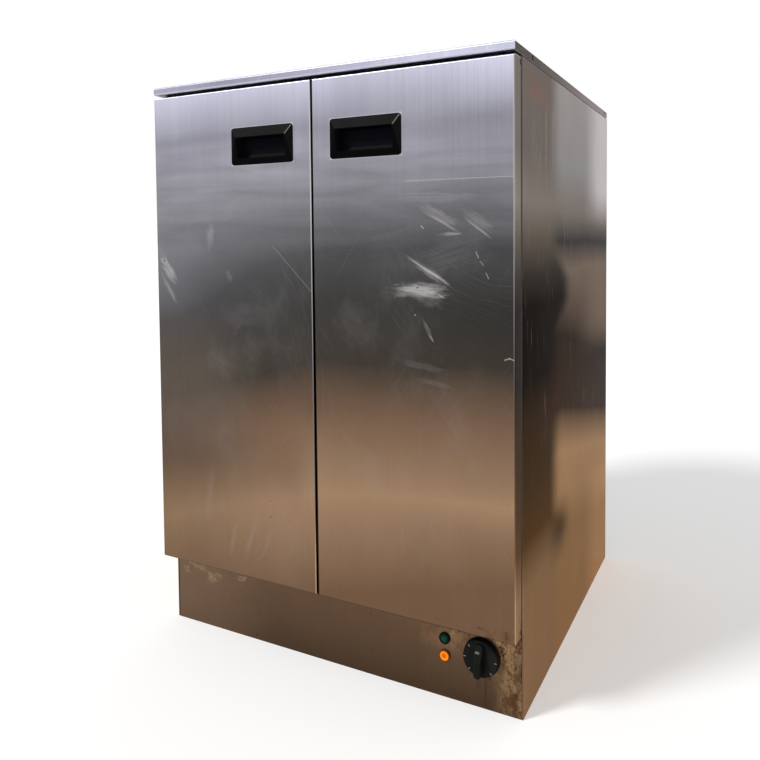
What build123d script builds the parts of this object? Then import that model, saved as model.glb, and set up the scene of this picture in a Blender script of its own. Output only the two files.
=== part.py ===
"""Plate warmer cabinet: a floor-standing hot cupboard of folded stainless sheet.

Frame: the origin is on the floor under the middle of the body, +Z is up, the doors face -Y and
+X is to the right of someone who stands in front of them. Millimetres.
"""

import os

from build123d import *

# --- Case ---------------------------------------------------------------------------------------
body_width = 625.0
body_depth = 530.0  # side panels, front to rear, without the doors
body_height = 900.0  # floor to the top of the lid
sheet = 1.2  # outer panels
liner_sheet = 0.8  # panels of the cavity
fold_radius = 2.2  # outside radius of a fold in the outer panels
liner_fold_radius = 1.6
seat = 0.3  # between panels that are screwed together
stile_width = 24.0  # front return of a side panel, which carries the hinge
flange_width = 14.0  # other returns of the outer panels

lid_skirt = 12.0
lid_rear_setback = 4.0
lid_hole_diameter = 7.0
lid_hole_front = 43.0  # behind the front plane of the body
lid_hole_rear = 28.0  # in front of the rear plane of the body
stiffener_width = 20.0

plinth_height = 117.5
fascia_flange = 20.0
base_flange = 20.0

side_wall = 26.5  # outer face of the body to the cavity
rear_wall = 32.0
top_wall = 24.2  # top rail's top to the cavity's ceiling
deck_height = 17.2
ceiling_flange = 15.0
rail_height = 28.2
rail_flange = 20.0
rail_lip = 10.0

# --- Doors and their hinges ---------------------------------------------------------------------
door_thickness = 24.0
door_gap = 2.6  # between the two doors
door_lid_gap = 5.0
door_plinth_gap = 1.5
door_return = 14.0
door_hinge_return = 26.0
door_fold_radius = 2.0
window_radius = 6.0
relief_width = 3.2
relief_height = 7.0
relief_from_end = 6.5  # middle of the relief hole to the end of the door
relief_from_back = 3.4

lining_inset = 3.0
field_inset = 32.0
field_depth = 3.2
field_radius = 12.0
field_slope = 40.0  # degrees from straight out

pin_radius = 1.5
pin_clearance = 0.05
leaf_sheet = 1.15
leaf_width = 20.0  # from the hinge's axis to the leaf's free edge
barrel_clearance = 0.3
knuckle_count = 7
knuckle_clearance = 0.25
hinge_bottom_gap = 0.5
hinge_lid_gap = 1.5
curl_slit = 0.4

handle_width = 116.0
handle_height = 57.0
handle_from_top = 60.5
handle_from_free_edge = 31.7
handle_corner_radius = 5.0
handle_rim = 1.0
handle_lip_proud = 5.0  # lip of the hood in front of the rim
handle_lip_drop = 15.0  # top edge to the lip
handle_lip_inset = 10.5  # side edge to the end of the lip
pocket_wall = 2.0
pocket_lip = 1.4
pocket_depth = 12.0  # behind the door's front
pocket_bottom_rim = 9.5
pocket_radius = 4.5
pocket_cove_radius = 8.0
pocket_clearance = 0.5
snap_width = 18.0
snap_height = 1.6

catch_width = 44.0
catch_height = 14.0
catch_from_middle = 32.0
catch_air_gap = 0.3
strike_sheet = 1.2
strike_margin = 2.0

# --- Controls -----------------------------------------------------------------------------------
knob_from_side = 59.5
knob_z = 73.0
knob_diameter = 54.0
knob_face_diameter = 50.5
knob_skirt_height = 7.0
knob_wall_gap = 1.0
knob_sheet = 2.5
knob_edge = 1.0
grip_width = 12.5
grip_height = 12.5
grip_length = 44.0
grip_ramp_start = 2.0  # above the shaft
grip_ramp_end = 2.0  # left of the bar's height at its upper end
grip_side_slope = 4.0
knob_hollow_diameter = 16.0  # clears the bush
knob_bush_gap = 0.5
shaft_radius = 3.0
shaft_clearance = 0.05
shaft_flat = 1.5
shaft_length = 21.0
bush_radius = 5.0
bush_length = 8.0
thermostat_width = 38.0
thermostat_height = 44.0
thermostat_depth = 30.0
thermostat_radius = 3.0
thermostat_standoff = 1.0
blade_width = 6.3
blade_thickness = 0.8
blade_length = 9.0
capillary_diameter = 2.4
phial_diameter = 6.5
phial_length = 80.0
phial_from_front = 75.0
phial_overlap = 2.0  # of the tube and the phial
phial_height = 17.0  # above the deck
capillary_from_knob = 15.0
capillary_from_fascia = 5.0  # behind the fascia's top flange
capillary_bend = 12.0
capillary_hole = 8.0
clip_width = 8.0
clip_sheet = 2.0
clip_fit = 0.1

lamp_from_knob = 56.5
lamp_levels = {"green": 85.6, "amber": 60.4}
lamp_bezel_diameter = 16.5
lamp_bezel_height = 2.0
lamp_body_diameter = 9.8
lamp_body_length = 20.0
lamp_hole_diameter = 10.2
lamp_lens_diameter = 14.4
lamp_lens_height = 2.4
lamp_lens_edge = 1.2
lamp_lens_clearance = 0.1
lamp_clip_span = 13.0  # over the two wings that snap behind the panel
lamp_clip_width = 5.0
lamp_clip_depth = 6.0

# --- Cavity fittings ----------------------------------------------------------------------------
pilaster_width = 20.0
pilaster_depth = 7.0
pilaster_sheet = 1.0
pilaster_from_front = 95.0
pilaster_from_back = 95.0
pilaster_end_gap = 12.0
slot_pitch = 60.0
slot_height = 6.0
slot_width = 9.0
shelf_slots = {"lower": 4, "upper": 8}  # slot that carries each pair of runners
runner_sheet = 1.5
runner_leg = 15.0
runner_end_gap = 20.0
runner_tab = 3.0

shelf_end_gap = 14.0
shelf_side_gap = 1.5
shelf_sheet = 1.2
shelf_flange = 14.0
shelf_slot_length = 150.0
shelf_slot_width = 14.0
shelf_column_count = 3
shelf_row_count = 6

element_diameter = 8.0
element_height = 17.0  # above the deck
element_side_gap = 156.0
element_front_gap = 70.0
element_back_gap = 60.0
element_terminal_drop = 50.0
element_terminal_bend = 14.0
element_bend = 30.0
element_fit = 0.1
element_hole_gap = 2.0  # wider than the heater, for its glands
bracket_sheet = 1.5
bracket_foot = 12.0
bracket_overlap = 2.0
bracket_end = 20.0
bracket_front_gap = 143.0
bracket_back_gap = 143.0
gland_nut_width = 17.0
gland_nut_height = 6.0
nut_clearance = 6.0

guard_sheet = 1.0
guard_height = 36.0
guard_side_gap = 24.0
guard_end_gap = 10.0
guard_slot_length = 110.0
guard_slot_width = 12.0
guard_column_count = 3
guard_row_count = 6

# --- Mains connection and vents -----------------------------------------------------------------
cable_from_side = 72.5
cable_z = 62.0
cable_gland_width = 22.0  # across the corners of its hexagons
cable_gland_dome_diameter = 18.0
cable_gland_thread = 15.8
cable_gland_hole = 16.2
cable_gland_bore = 9.0
cable_gland_dome = 16.0
cable_gland_edge = 2.0
cable_gland_nut = 5.0
block_length = 46.0
block_width = 22.0
block_height = 18.0
block_edge = 2.0
block_ways = 3
block_way_diameter = 4.5
block_from_cable = 40.0
block_from_back = 90.0
vent_width = 5.0
vent_height = 44.0
vent_pitch = 16.0
vent_count = 7
base_vent_length = 60.0
base_vent_count = 5
base_vent_pitch = 24.0
base_vent_from_side = 142.5

# --- Planes that the pieces share ---------------------------------------------------------------
x_outer = body_width / 2
y_front = -body_depth / 2
y_rear = body_depth / 2
inner_radius = fold_radius - sheet

barrel_radius = pin_radius + pin_clearance + leaf_sheet
hinge_half_gap = barrel_radius + barrel_clearance
pivot_x = x_outer - hinge_half_gap
pivot_y = y_front - hinge_half_gap
door_back_y = y_front - 2 * hinge_half_gap
door_front_y = door_back_y - door_thickness
lid_bottom_z = body_height - lid_skirt
side_top_z = lid_bottom_z - seat
door_top_z = lid_bottom_z - door_lid_gap
door_bottom_z = plinth_height + door_plinth_gap
door_free_x = door_gap / 2

panel_x = x_outer - sheet - seat  # outer faces of the pieces between the side panels
frame_x = panel_x - sheet - seat  # outer faces of the pieces inside the fascia's flanges
panel_front_y = y_front + sheet + seat
back_panel_y = y_rear - sheet - seat
panel_back_y = back_panel_y - sheet - seat
rail_top_z = side_top_z - sheet - seat
rail_bottom_z = rail_top_z - rail_height
insulation_top_z = rail_top_z - sheet - seat
deck_bottom_z = plinth_height + seat
deck_top_z = deck_bottom_z + deck_height
cavity_x = x_outer - side_wall
cavity_back_y = y_rear - rear_wall
cavity_top_z = rail_top_z - top_wall
wall_bottom_z = deck_top_z + seat
insulation_front_y = panel_front_y + sheet + seat
knob_x = x_outer - knob_from_side
lamp_x = knob_x - lamp_from_knob
capillary_x = knob_x + capillary_from_knob
capillary_y = y_front + fascia_flange + capillary_from_fascia
phial_start_y = y_front + phial_from_front
cable_x = x_outer - cable_from_side
block_x = cable_x - block_from_cable
base_vent_x = x_outer - base_vent_from_side
element_half_width = cavity_x - element_side_gap
liner_x = cavity_x + liner_sheet
liner_back_y = cavity_back_y + liner_sheet


def block(xs, ys, zs):
    """A box between two values on each axis."""
    middle = [(low + high) / 2 for low, high in (xs, ys, zs)]
    return Pos(*middle) * Box(xs[1] - xs[0], ys[1] - ys[0], zs[1] - zs[0])


def face_edges(part, axis, at):
    """The edges that lie in the plane where the axis reads at."""
    margin = 0.01
    return part.edges().filter_by_position(getattr(Axis, axis), at - margin, at + margin)


def line_edges(part, along, **at):
    """The edges along one axis at the given places on the other two."""
    edges = part.edges().filter_by(getattr(Axis, along))
    for axis, value in at.items():
        edges = edges.filter_by_position(getattr(Axis, axis), value - 0.01, value + 0.01)
    return edges


def folded_tray(xs, ys, zs, base, thickness, radius):
    """A sheet with its four sides folded the same way. base is its closed face, such as -Y."""
    spans = {"X": xs, "Y": ys, "Z": zs}
    axis = base[1]
    side = 1 if base[0] == "+" else 0
    inner_spans = {name: (low + thickness, high - thickness) for name, (low, high) in spans.items()}
    low, high = inner_spans[axis]
    beyond = 2 * thickness
    inner_spans[axis] = (low - beyond, high) if side else (low, high + beyond)
    outer = block(xs, ys, zs)
    inner = block(*inner_spans.values())
    outer = fillet(face_edges(outer, axis, spans[axis][side]), radius)
    inner = fillet(face_edges(inner, axis, inner_spans[axis][side]), radius - thickness)
    return outer - inner


def hole_along(axis, centre, diameter, length):
    """A cylinder along an axis, centred on a point, for a round hole or rod."""
    turn = {"X": Rot(0, 90, 0), "Y": Rot(90, 0, 0), "Z": Rot(0, 0, 0)}[axis]
    return Pos(*centre) * turn * Cylinder(diameter / 2, length)


def tube_along(points, radii, diameter):
    """A rod swept along straight runs joined by arcs."""
    path = FilletPolyline(*points, radius=radii)
    return sweep(Plane(origin=path @ 0, z_dir=path % 0) * Circle(diameter / 2), path=path)


def left_of(part):
    """The piece's mirror image on the left."""
    return mirror(part, about=Plane.YZ)


# --- Outer case ---------------------------------------------------------------------------------
def make_side_panel():
    """Right side panel: folded in at the front, the top and the rear, open at the floor."""
    panel = folded_tray(
        (x_outer - stile_width, x_outer),
        (y_front, y_rear),
        (-stile_width, side_top_z),
        "+X",
        sheet,
        fold_radius,
    )
    panel -= block((0, x_outer + sheet), (y_front - sheet, y_rear + sheet), (-body_height, 0))
    behind_stile = y_front + sheet
    panel -= block((0, x_outer - flange_width), (behind_stile, y_rear + sheet), (0, body_height))
    stile_bottom_z = plinth_height + seat
    bend_back_y = y_front + fold_radius
    panel -= block((0, x_outer + sheet), (y_front - sheet, bend_back_y), (-sheet, stile_bottom_z))
    panel += block((x_outer - sheet, x_outer), (y_front, bend_back_y), (0, stile_bottom_z))
    return panel


def make_back_panel():
    panel = folded_tray(
        (-panel_x, panel_x),
        (back_panel_y - flange_width, back_panel_y),
        (-flange_width, rail_top_z),
        "+Y",
        sheet,
        fold_radius,
    )
    panel -= block((-x_outer, x_outer), (0, y_rear), (-body_height, 0))
    panel -= hole_along("Y", (cable_x, back_panel_y, cable_z), cable_gland_hole, 4 * sheet)
    for index in range(vent_count):
        x = (index - (vent_count - 1) / 2) * vent_pitch
        panel -= Pos(x, back_panel_y, plinth_height / 2) * Box(vent_width, 4 * sheet, vent_height)
    return panel


def make_lid():
    """A pan with a skirt that is folded in again at its lower edge."""
    xs = (-x_outer, x_outer)
    ys = (door_front_y, y_rear - lid_rear_setback)
    zs = (lid_bottom_z, body_height)
    outer = block(xs, ys, zs)
    inner = block(*[(low + sheet, high - sheet) for low, high in (xs, ys, zs)])
    outer = fillet(face_edges(outer, "Z", zs[1]) + face_edges(outer, "Z", zs[0]), fold_radius)
    mouth = block(
        (xs[0] + flange_width, xs[1] - flange_width),
        (ys[0] + flange_width, ys[1] - flange_width),
        (zs[0] - sheet, zs[0] + 2 * sheet),
    )
    lid = outer - inner - mouth
    hole_z = lid_bottom_z + lid_skirt / 2
    for y in (y_front + lid_hole_front, y_rear - lid_hole_rear):
        lid -= hole_along("X", (0, y, hole_z), lid_hole_diameter, 2 * body_width)
    return lid


def make_lid_stiffeners():
    """Two channels under the lid, on the top rail and on the back panel's top flange."""
    bottom_z = rail_top_z + seat
    top_z = body_height - sheet - seat
    half_length = x_outer - flange_width - 2 * seat
    front = folded_tray(
        (-half_length, half_length),
        (panel_front_y, panel_front_y + stiffener_width),
        (bottom_z, top_z),
        "-Y",
        sheet,
        fold_radius,
    )
    rear_y = back_panel_y - flange_width
    lid_inside_y = y_rear - lid_rear_setback - sheet - seat
    rear = folded_tray(
        (-half_length, half_length),
        (rear_y - flange_width, min(back_panel_y, lid_inside_y - flange_width)),
        (bottom_z, top_z),
        "+Y",
        sheet,
        fold_radius,
    )
    return Compound(children=[front, rear])


def make_fascia():
    fascia = folded_tray(
        (-panel_x, panel_x),
        (y_front, y_front + fascia_flange),
        (-fascia_flange, plinth_height),
        "-Y",
        sheet,
        fold_radius,
    )
    fascia -= block((-x_outer, x_outer), (y_front - sheet, 0), (-body_height, 0))
    bush_hole = 2 * (bush_radius + shaft_clearance)
    fascia -= hole_along("Y", (knob_x, y_front, knob_z), bush_hole, 4 * sheet)
    for z in lamp_levels.values():
        fascia -= hole_along("Y", (lamp_x, y_front, z), lamp_hole_diameter, 4 * sheet)
    return fascia


def make_base_tray():
    tray = folded_tray(
        (-frame_x, frame_x), (panel_front_y, panel_back_y), (0, base_flange), "-Z", sheet, fold_radius
    )
    for side in (-1, 1):
        for index in range(base_vent_count):
            y = (index - (base_vent_count - 1) / 2) * base_vent_pitch
            tray -= Pos(side * base_vent_x, y, 0) * Box(base_vent_length, vent_width, 4 * sheet)
    return tray


def make_top_rail():
    """Folded rail over the doorway, which also carries the magnet catches."""
    web_back_y = panel_front_y + sheet
    rail = block((-frame_x, frame_x), (panel_front_y, web_back_y), (rail_bottom_z, rail_top_z))
    rail += block(
        (-frame_x, frame_x), (panel_front_y, panel_front_y + rail_flange), (rail_top_z - sheet, rail_top_z)
    )
    rail = fillet(line_edges(rail, "X", Y=panel_front_y, Z=rail_top_z), fold_radius)
    rail = fillet(line_edges(rail, "X", Y=web_back_y, Z=rail_top_z - sheet), inner_radius)
    lip_x = cavity_x - 2 * seat
    rail += block(
        (-lip_x, lip_x), (panel_front_y, panel_front_y + rail_lip), (rail_bottom_z - sheet, rail_bottom_z)
    )
    return rail


# --- Cavity lining and insulation ---------------------------------------------------------------
def make_deck():
    """Floor of the cavity, folded down all round, with holes for the heater and the sensor."""
    deck = folded_tray(
        (-frame_x, frame_x),
        (panel_front_y, panel_back_y),
        (deck_bottom_z, deck_top_z),
        "+Z",
        liner_sheet,
        liner_fold_radius,
    )
    for x, y in element_terminals():
        hole = element_diameter + element_hole_gap
        deck -= hole_along("Z", (x, y, deck_top_z), hole, 4 * liner_sheet)
    deck -= hole_along("Z", (capillary_x, capillary_y, deck_top_z), capillary_hole, 4 * liner_sheet)
    return deck


def make_liner_side():
    """Right wall of the cavity, its front edge folded out behind the stile."""
    flange_back_y = panel_front_y + liner_sheet
    wall = block((cavity_x, liner_x), (panel_front_y, liner_back_y), (wall_bottom_z, insulation_top_z))
    wall += block(
        (cavity_x, cavity_x + flange_width),
        (panel_front_y, flange_back_y),
        (wall_bottom_z, insulation_top_z),
    )
    wall = fillet(line_edges(wall, "Z", X=cavity_x, Y=panel_front_y), liner_fold_radius)
    wall = fillet(line_edges(wall, "Z", X=liner_x, Y=flange_back_y), liner_fold_radius - liner_sheet)
    rail_notch_z = rail_bottom_z - sheet - seat
    wall -= block((0, x_outer), (y_front, insulation_front_y), (rail_notch_z, body_height))
    return wall


def make_liner_back():
    half = cavity_x - seat
    return block((-half, half), (cavity_back_y, liner_back_y), (wall_bottom_z, insulation_top_z))


def make_liner_ceiling():
    half = cavity_x - seat
    return folded_tray(
        (-half, half),
        (insulation_front_y, cavity_back_y - seat),
        (cavity_top_z, cavity_top_z + ceiling_flange),
        "-Z",
        liner_sheet,
        liner_fold_radius,
    )


def make_insulation():
    """The five boards of mineral wool round the cavity, by name."""
    gap = seat
    side = block(
        (liner_x + gap, x_outer - sheet - gap),
        (insulation_front_y, liner_back_y),
        (wall_bottom_z, insulation_top_z),
    )
    back = block(
        (-frame_x, frame_x), (liner_back_y + gap, panel_back_y), (wall_bottom_z, insulation_top_z)
    )
    tray_inside = liner_sheet + gap
    top = block(
        (-cavity_x + seat + tray_inside, cavity_x - seat - tray_inside),
        (insulation_front_y + tray_inside, cavity_back_y - seat - tray_inside),
        (cavity_top_z + tray_inside, insulation_top_z),
    )
    floor = block(
        (-frame_x + tray_inside, frame_x - tray_inside),
        (panel_front_y + tray_inside, panel_back_y - tray_inside),
        (deck_bottom_z, deck_top_z - tray_inside),
    )
    floor = fillet(face_edges(floor, "Z", deck_top_z - tray_inside), liner_fold_radius)
    top = fillet(face_edges(top, "Z", cavity_top_z + tray_inside), liner_fold_radius)
    for x, y in element_terminals():
        floor -= hole_along("Z", (x, y, deck_bottom_z), gland_nut_width + nut_clearance, 3 * deck_height)
    floor -= hole_along("Z", (capillary_x, capillary_y, deck_bottom_z), capillary_hole, 3 * deck_height)
    return {
        "insulation_right": side,
        "insulation_left": left_of(side),
        "insulation_back": back,
        "insulation_top": top,
        "insulation_floor": floor,
    }


# --- Doors --------------------------------------------------------------------------------------
handle_x = door_free_x + handle_from_free_edge + handle_width / 2
handle_top_z = door_top_z - handle_from_top
handle_bottom_z = handle_top_z - handle_height
lip_z = handle_top_z - handle_lip_drop
pocket_half = handle_width / 2 - handle_lip_inset - pocket_lip
pocket_bottom_z = handle_bottom_z + pocket_bottom_rim
pocket_top_z = lip_z - pocket_lip
pocket_back_y = door_front_y + pocket_depth
lining_hinge_x = pivot_x - leaf_width - 0.5


def pocket_block(grow, front_y, back_y):
    """The handle's pocket as a plain block, grown by a wall or a clearance."""
    return block(
        (handle_x - pocket_half - grow, handle_x + pocket_half + grow),
        (front_y, back_y),
        (pocket_bottom_z - grow, pocket_top_z + grow),
    )


def rounded_pocket(grow, front_y, back_y):
    """The same block with its corners rounded."""
    pocket = pocket_block(grow, front_y, back_y)
    return fillet(pocket.edges().filter_by(Axis.Y), pocket_radius + grow)


def make_door_skin():
    """Right door's outer pan: folded back at the edges and in again behind them."""
    xs = (door_free_x, x_outer)
    ys = (door_front_y, door_back_y)
    zs = (door_bottom_z, door_top_z)
    outer = block(xs, ys, zs)
    inner = block(*[(low + sheet, high - sheet) for low, high in (xs, ys, zs)])
    outer = fillet(face_edges(outer, "Y", ys[0]) + face_edges(outer, "Y", ys[1]), door_fold_radius)
    inner_ys = (ys[0] + sheet, ys[1] - sheet)
    inner_edges = face_edges(inner, "Y", inner_ys[0]) + face_edges(inner, "Y", inner_ys[1])
    inner = fillet(inner_edges, door_fold_radius - sheet)
    window = block(
        (xs[0] + door_return, xs[1] - door_hinge_return),
        (ys[1] - 2 * sheet, ys[1] + sheet),
        (zs[0] + door_return, zs[1] - door_return),
    )
    window = fillet(window.edges().filter_by(Axis.Y), window_radius)
    skin = outer - inner - window
    cut_grow = pocket_wall + pocket_clearance
    skin -= pocket_block(cut_grow, door_front_y - sheet, door_front_y + 2 * sheet)
    relief = Plane.YZ * SlotOverall(relief_height, relief_width, rotation=90)
    for z in (zs[0] + relief_from_end, zs[1] - relief_from_end):
        skin -= Pos(x_outer, door_back_y - relief_from_back, z) * extrude(relief, 2 * sheet, both=True)
    return skin


def make_door_lining():
    """Right door's inner panel, with a field pressed out towards the cavity."""
    xs = (door_free_x + lining_inset, lining_hinge_x)
    zs = (door_bottom_z + lining_inset, door_top_z - lining_inset)
    lining = block(xs, (door_back_y, door_back_y + liner_sheet), zs)
    middle = ((xs[0] + xs[1]) / 2, door_back_y, (zs[0] + zs[1]) / 2)
    outline = RectangleRounded(
        xs[1] - xs[0] - 2 * field_inset, zs[1] - zs[0] - 2 * field_inset, field_radius
    )
    facing_back = Plane(origin=middle, x_dir=(1, 0, 0), z_dir=(0, 1, 0))
    pressed = extrude(facing_back * outline, field_depth + liner_sheet, taper=field_slope)
    hollow = Pos(0, -liner_sheet, 0) * pressed
    return lining + pressed - hollow


def make_door_insulation():
    grow = sheet + 2 * seat
    board = block(
        (door_free_x + grow, x_outer - grow),
        (door_front_y + grow, door_back_y - grow),
        (door_bottom_z + grow, door_top_z - grow),
    )
    cup = pocket_half + pocket_wall + 2 * pocket_clearance
    board -= block(
        (handle_x - cup, handle_x + cup),
        (door_front_y, pocket_back_y + pocket_wall + 2 * pocket_clearance),
        (pocket_bottom_z - snap_height - 2 * pocket_wall, pocket_top_z + snap_height + 2 * pocket_wall),
    )
    return board


def make_handle():
    """Recessed pull: a rim and a hipped hood in front of the door, and a cup behind it."""
    left_x, right_x = handle_x - handle_width / 2, handle_x + handle_width / 2
    rim_y = door_front_y - handle_rim
    lip_y = rim_y - handle_lip_proud
    rim = block((left_x, right_x), (rim_y, door_front_y), (handle_bottom_z, handle_top_z))
    with BuildSketch(Plane.YZ) as side_view:
        Polygon((rim_y, handle_top_z), (lip_y, lip_z), (rim_y, handle_bottom_z), align=None)
    with BuildSketch(Plane.XY) as top_view:
        Polygon(
            (left_x, rim_y),
            (left_x + handle_lip_inset, lip_y),
            (right_x - handle_lip_inset, lip_y),
            (right_x, rim_y),
            align=None,
        )
    hood = extrude(side_view.sketch, 2 * body_width, both=True) & extrude(
        top_view.sketch, 2 * body_height, both=True
    )
    front = rim + hood
    rounded = block((left_x, right_x), (lip_y, door_front_y), (handle_bottom_z, handle_top_z))
    front &= fillet(rounded.edges().filter_by(Axis.Y), handle_corner_radius)
    cup = rounded_pocket(pocket_wall, door_front_y, pocket_back_y + pocket_wall)
    snap_y = door_front_y + sheet + 0.2
    for z, reach in ((pocket_top_z + pocket_wall, 1), (pocket_bottom_z - pocket_wall, -1)):
        near, far = sorted((z - reach * pocket_wall / 2, z + reach * snap_height))
        cup += block(
            (handle_x - snap_width / 2, handle_x + snap_width / 2),
            (snap_y, snap_y + snap_height),
            (near, far),
        )
    cove = block(
        (left_x, right_x), (lip_y - sheet, pocket_back_y), (pocket_bottom_z, handle_top_z)
    )
    cove = fillet(line_edges(cove, "X", Y=pocket_back_y, Z=pocket_bottom_z), pocket_cove_radius)
    return front + cup - (rounded_pocket(0, lip_y - sheet, pocket_back_y) & cove)


def make_hinge():
    """Right hinge: the body's leaf, the door's leaf and the pin they share."""
    bottom_z = door_bottom_z + hinge_bottom_gap
    top_z = lid_bottom_z - hinge_lid_gap
    pitch = (top_z - bottom_z) / knuckle_count
    edge_x = pivot_x - leaf_width
    plate_x = pivot_x - barrel_radius - curl_slit
    bore_radius = pin_radius + pin_clearance

    def leaf(outer_y, inner_y, plate_zs, first):
        """One leaf: outer_y is the face it is screwed to, inner_y its other face."""
        ys = tuple(sorted((outer_y, inner_y)))
        plate = block((edge_x, plate_x), ys, plate_zs)
        slit_ys = tuple(sorted((inner_y, inner_y + (pivot_y - outer_y) / hinge_half_gap * curl_slit)))
        knuckles = []
        for index in range(first, knuckle_count, 2):
            low = bottom_z + index * pitch + knuckle_clearance
            high = bottom_z + (index + 1) * pitch - knuckle_clearance
            middle = (pivot_x, pivot_y, (low + high) / 2)
            knuckle = hole_along("Z", middle, 2 * barrel_radius, high - low)
            knuckle += block((plate_x, pivot_x), ys, (low, high))
            knuckle -= hole_along("Z", middle, 2 * bore_radius, high - low + 1)
            knuckle -= block((pivot_x - 2 * barrel_radius, pivot_x), slit_ys, (low - 1, high + 1))
            knuckles.append(knuckle)
        return plate + knuckles

    body_leaf = leaf(y_front, y_front - leaf_sheet, (bottom_z, top_z), 0)
    door_leaf = leaf(
        door_back_y, door_back_y + leaf_sheet, (bottom_z, door_top_z - hinge_bottom_gap), 1
    )
    pin = hole_along("Z", (pivot_x, pivot_y, (bottom_z + top_z) / 2), 2 * pin_radius, top_z - bottom_z)
    return body_leaf, door_leaf, pin


catch_z = (rail_bottom_z + door_top_z - lining_inset) / 2
strike_back_y = door_back_y + liner_sheet + strike_sheet


def make_strike_plate():
    half_width = catch_width / 2 + strike_margin
    half_height = catch_height / 2 + strike_margin
    plate = block(
        (catch_from_middle - half_width, catch_from_middle + half_width),
        (door_back_y + liner_sheet, strike_back_y),
        (catch_z - half_height, catch_z + half_height),
    )
    return fillet(plate.edges().filter_by(Axis.Y), strike_margin)


def make_magnet_catches():
    """Two flat magnets in cases on the top rail, one for each door."""
    case = block(
        (catch_from_middle - catch_width / 2, catch_from_middle + catch_width / 2),
        (strike_back_y + catch_air_gap, panel_front_y),
        (catch_z - catch_height / 2, catch_z + catch_height / 2),
    )
    case = fillet(case.edges().filter_by(Axis.Y), strike_margin)
    case = chamfer(face_edges(case, "Y", strike_back_y + catch_air_gap), catch_air_gap)
    return Compound(children=[case, left_of(case)])


# --- Controls -----------------------------------------------------------------------------------
def make_knob():
    """Moulded knob: a hollow skirt, a raised bar across it and a boss for the shaft."""
    from_back = (Align.CENTER, Align.CENTER, Align.MIN)
    back_y = y_front - knob_wall_gap
    radius, face_radius = knob_diameter / 2, knob_face_diameter / 2
    facing_front = Plane(origin=(knob_x, back_y, knob_z), x_dir=(1, 0, 0), z_dir=(0, -1, 0))
    height = knob_skirt_height
    with BuildSketch(Plane.XZ) as half_section:
        Polygon((0, 0), (radius, 0), (face_radius, height), (0, height), align=None)
    skirt = chamfer(face_edges(revolve(half_section.sketch, Axis.Z), "Z", height), knob_edge)
    hollow = Cylinder(knob_hollow_diameter / 2, height - knob_sheet, align=from_back)
    bar = extrude(
        Plane.XY.offset(height - knob_sheet) * SlotOverall(grip_length, grip_width, rotation=90),
        grip_height + knob_sheet,
        taper=grip_side_slope,
    )
    bar = chamfer(face_edges(bar, "Z", height + grip_height), knob_edge)
    top = height + grip_height
    with BuildSketch(Plane.YZ) as side_view:
        Polygon(
            (grip_ramp_start, top),
            (grip_length / 2, height + grip_ramp_end),
            (grip_length / 2, top),
            align=None,
        )
    ramp = extrude(side_view.sketch, grip_width, both=True)
    knob = skirt - hollow + (bar - ramp)
    socket_depth = shaft_length - bush_length
    knob -= Cylinder(shaft_radius + shaft_clearance, socket_depth + knob_bush_gap, align=from_back)
    return facing_front * knob


def make_shaft():
    """Control spindle, flattened where the knob drives it."""
    bush_front_y = y_front - bush_length / 2
    tip_y = y_front - knob_wall_gap - (shaft_length - bush_length)
    back_y = y_front + bush_length
    shaft = hole_along("Y", (knob_x, (tip_y + back_y) / 2, knob_z), 2 * shaft_radius, back_y - tip_y)
    flat_z = knob_z + shaft_radius - shaft_flat
    return shaft - block(
        (knob_x - 2 * shaft_radius, knob_x + 2 * shaft_radius),
        (tip_y - 1, bush_front_y),
        (flat_z, knob_z + 2 * shaft_radius),
    )


def blade(x, y, z):
    """A push-on terminal that points to the rear."""
    return block(
        (x - blade_thickness / 2, x + blade_thickness / 2),
        (y, y + blade_length),
        (z - blade_width / 2, z + blade_width / 2),
    )


def make_thermostat():
    """Control body behind the fascia, with its bush through the panel and three terminals."""
    front_y = y_front + sheet + thermostat_standoff
    back_y = front_y + thermostat_depth
    body = block(
        (knob_x - thermostat_width / 2, knob_x + thermostat_width / 2),
        (front_y, back_y),
        (knob_z - thermostat_height / 2, knob_z + thermostat_height / 2),
    )
    body = fillet(body.edges().filter_by(Axis.Y), thermostat_radius)
    bush_front_y = y_front - bush_length / 2
    bush_centre = (knob_x, (bush_front_y + front_y) / 2, knob_z)
    body += hole_along("Y", bush_centre, 2 * bush_radius, front_y - bush_front_y)
    well_y = y_front + bush_length + seat
    well_centre = (knob_x, (bush_front_y + well_y) / 2, knob_z)
    body -= hole_along("Y", well_centre, 2 * (shaft_radius + shaft_clearance), well_y - bush_front_y)
    for offset in (-1, 0, 1):
        body += blade(knob_x + offset * thermostat_width / 3.5, back_y, knob_z)
    return body


def make_capillary():
    """Sensor tube from the thermostat up through the deck, and the phial at its end."""
    phial_z = deck_top_z + phial_height
    start_z = knob_z + thermostat_height / 2
    points = [
        (capillary_x, capillary_y, start_z),
        (capillary_x, capillary_y, phial_z),
        (capillary_x, phial_start_y + phial_overlap, phial_z),
    ]
    tube = tube_along(points, [capillary_bend], capillary_diameter)
    middle_y = phial_start_y + phial_length / 2
    phial = hole_along("Y", (capillary_x, middle_y, phial_z), phial_diameter, phial_length)
    return tube + phial


def make_phial_clips():
    """Two upright clips on the deck that hold the phial."""
    phial_z = deck_top_z + phial_height
    half_width = phial_diameter / 2 + clip_sheet
    clips = []
    for share in (0.25, 0.75):
        y = phial_start_y + share * phial_length
        clip = block(
            (capillary_x - half_width, capillary_x + half_width),
            (y - clip_width / 2, y + clip_width / 2),
            (deck_top_z + seat / 3, phial_z + phial_diameter / 4),
        )
        clip -= hole_along("Y", (capillary_x, y, phial_z), phial_diameter + clip_fit, 2 * clip_width)
        clips.append(clip)
    return Compound(children=clips)


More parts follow.
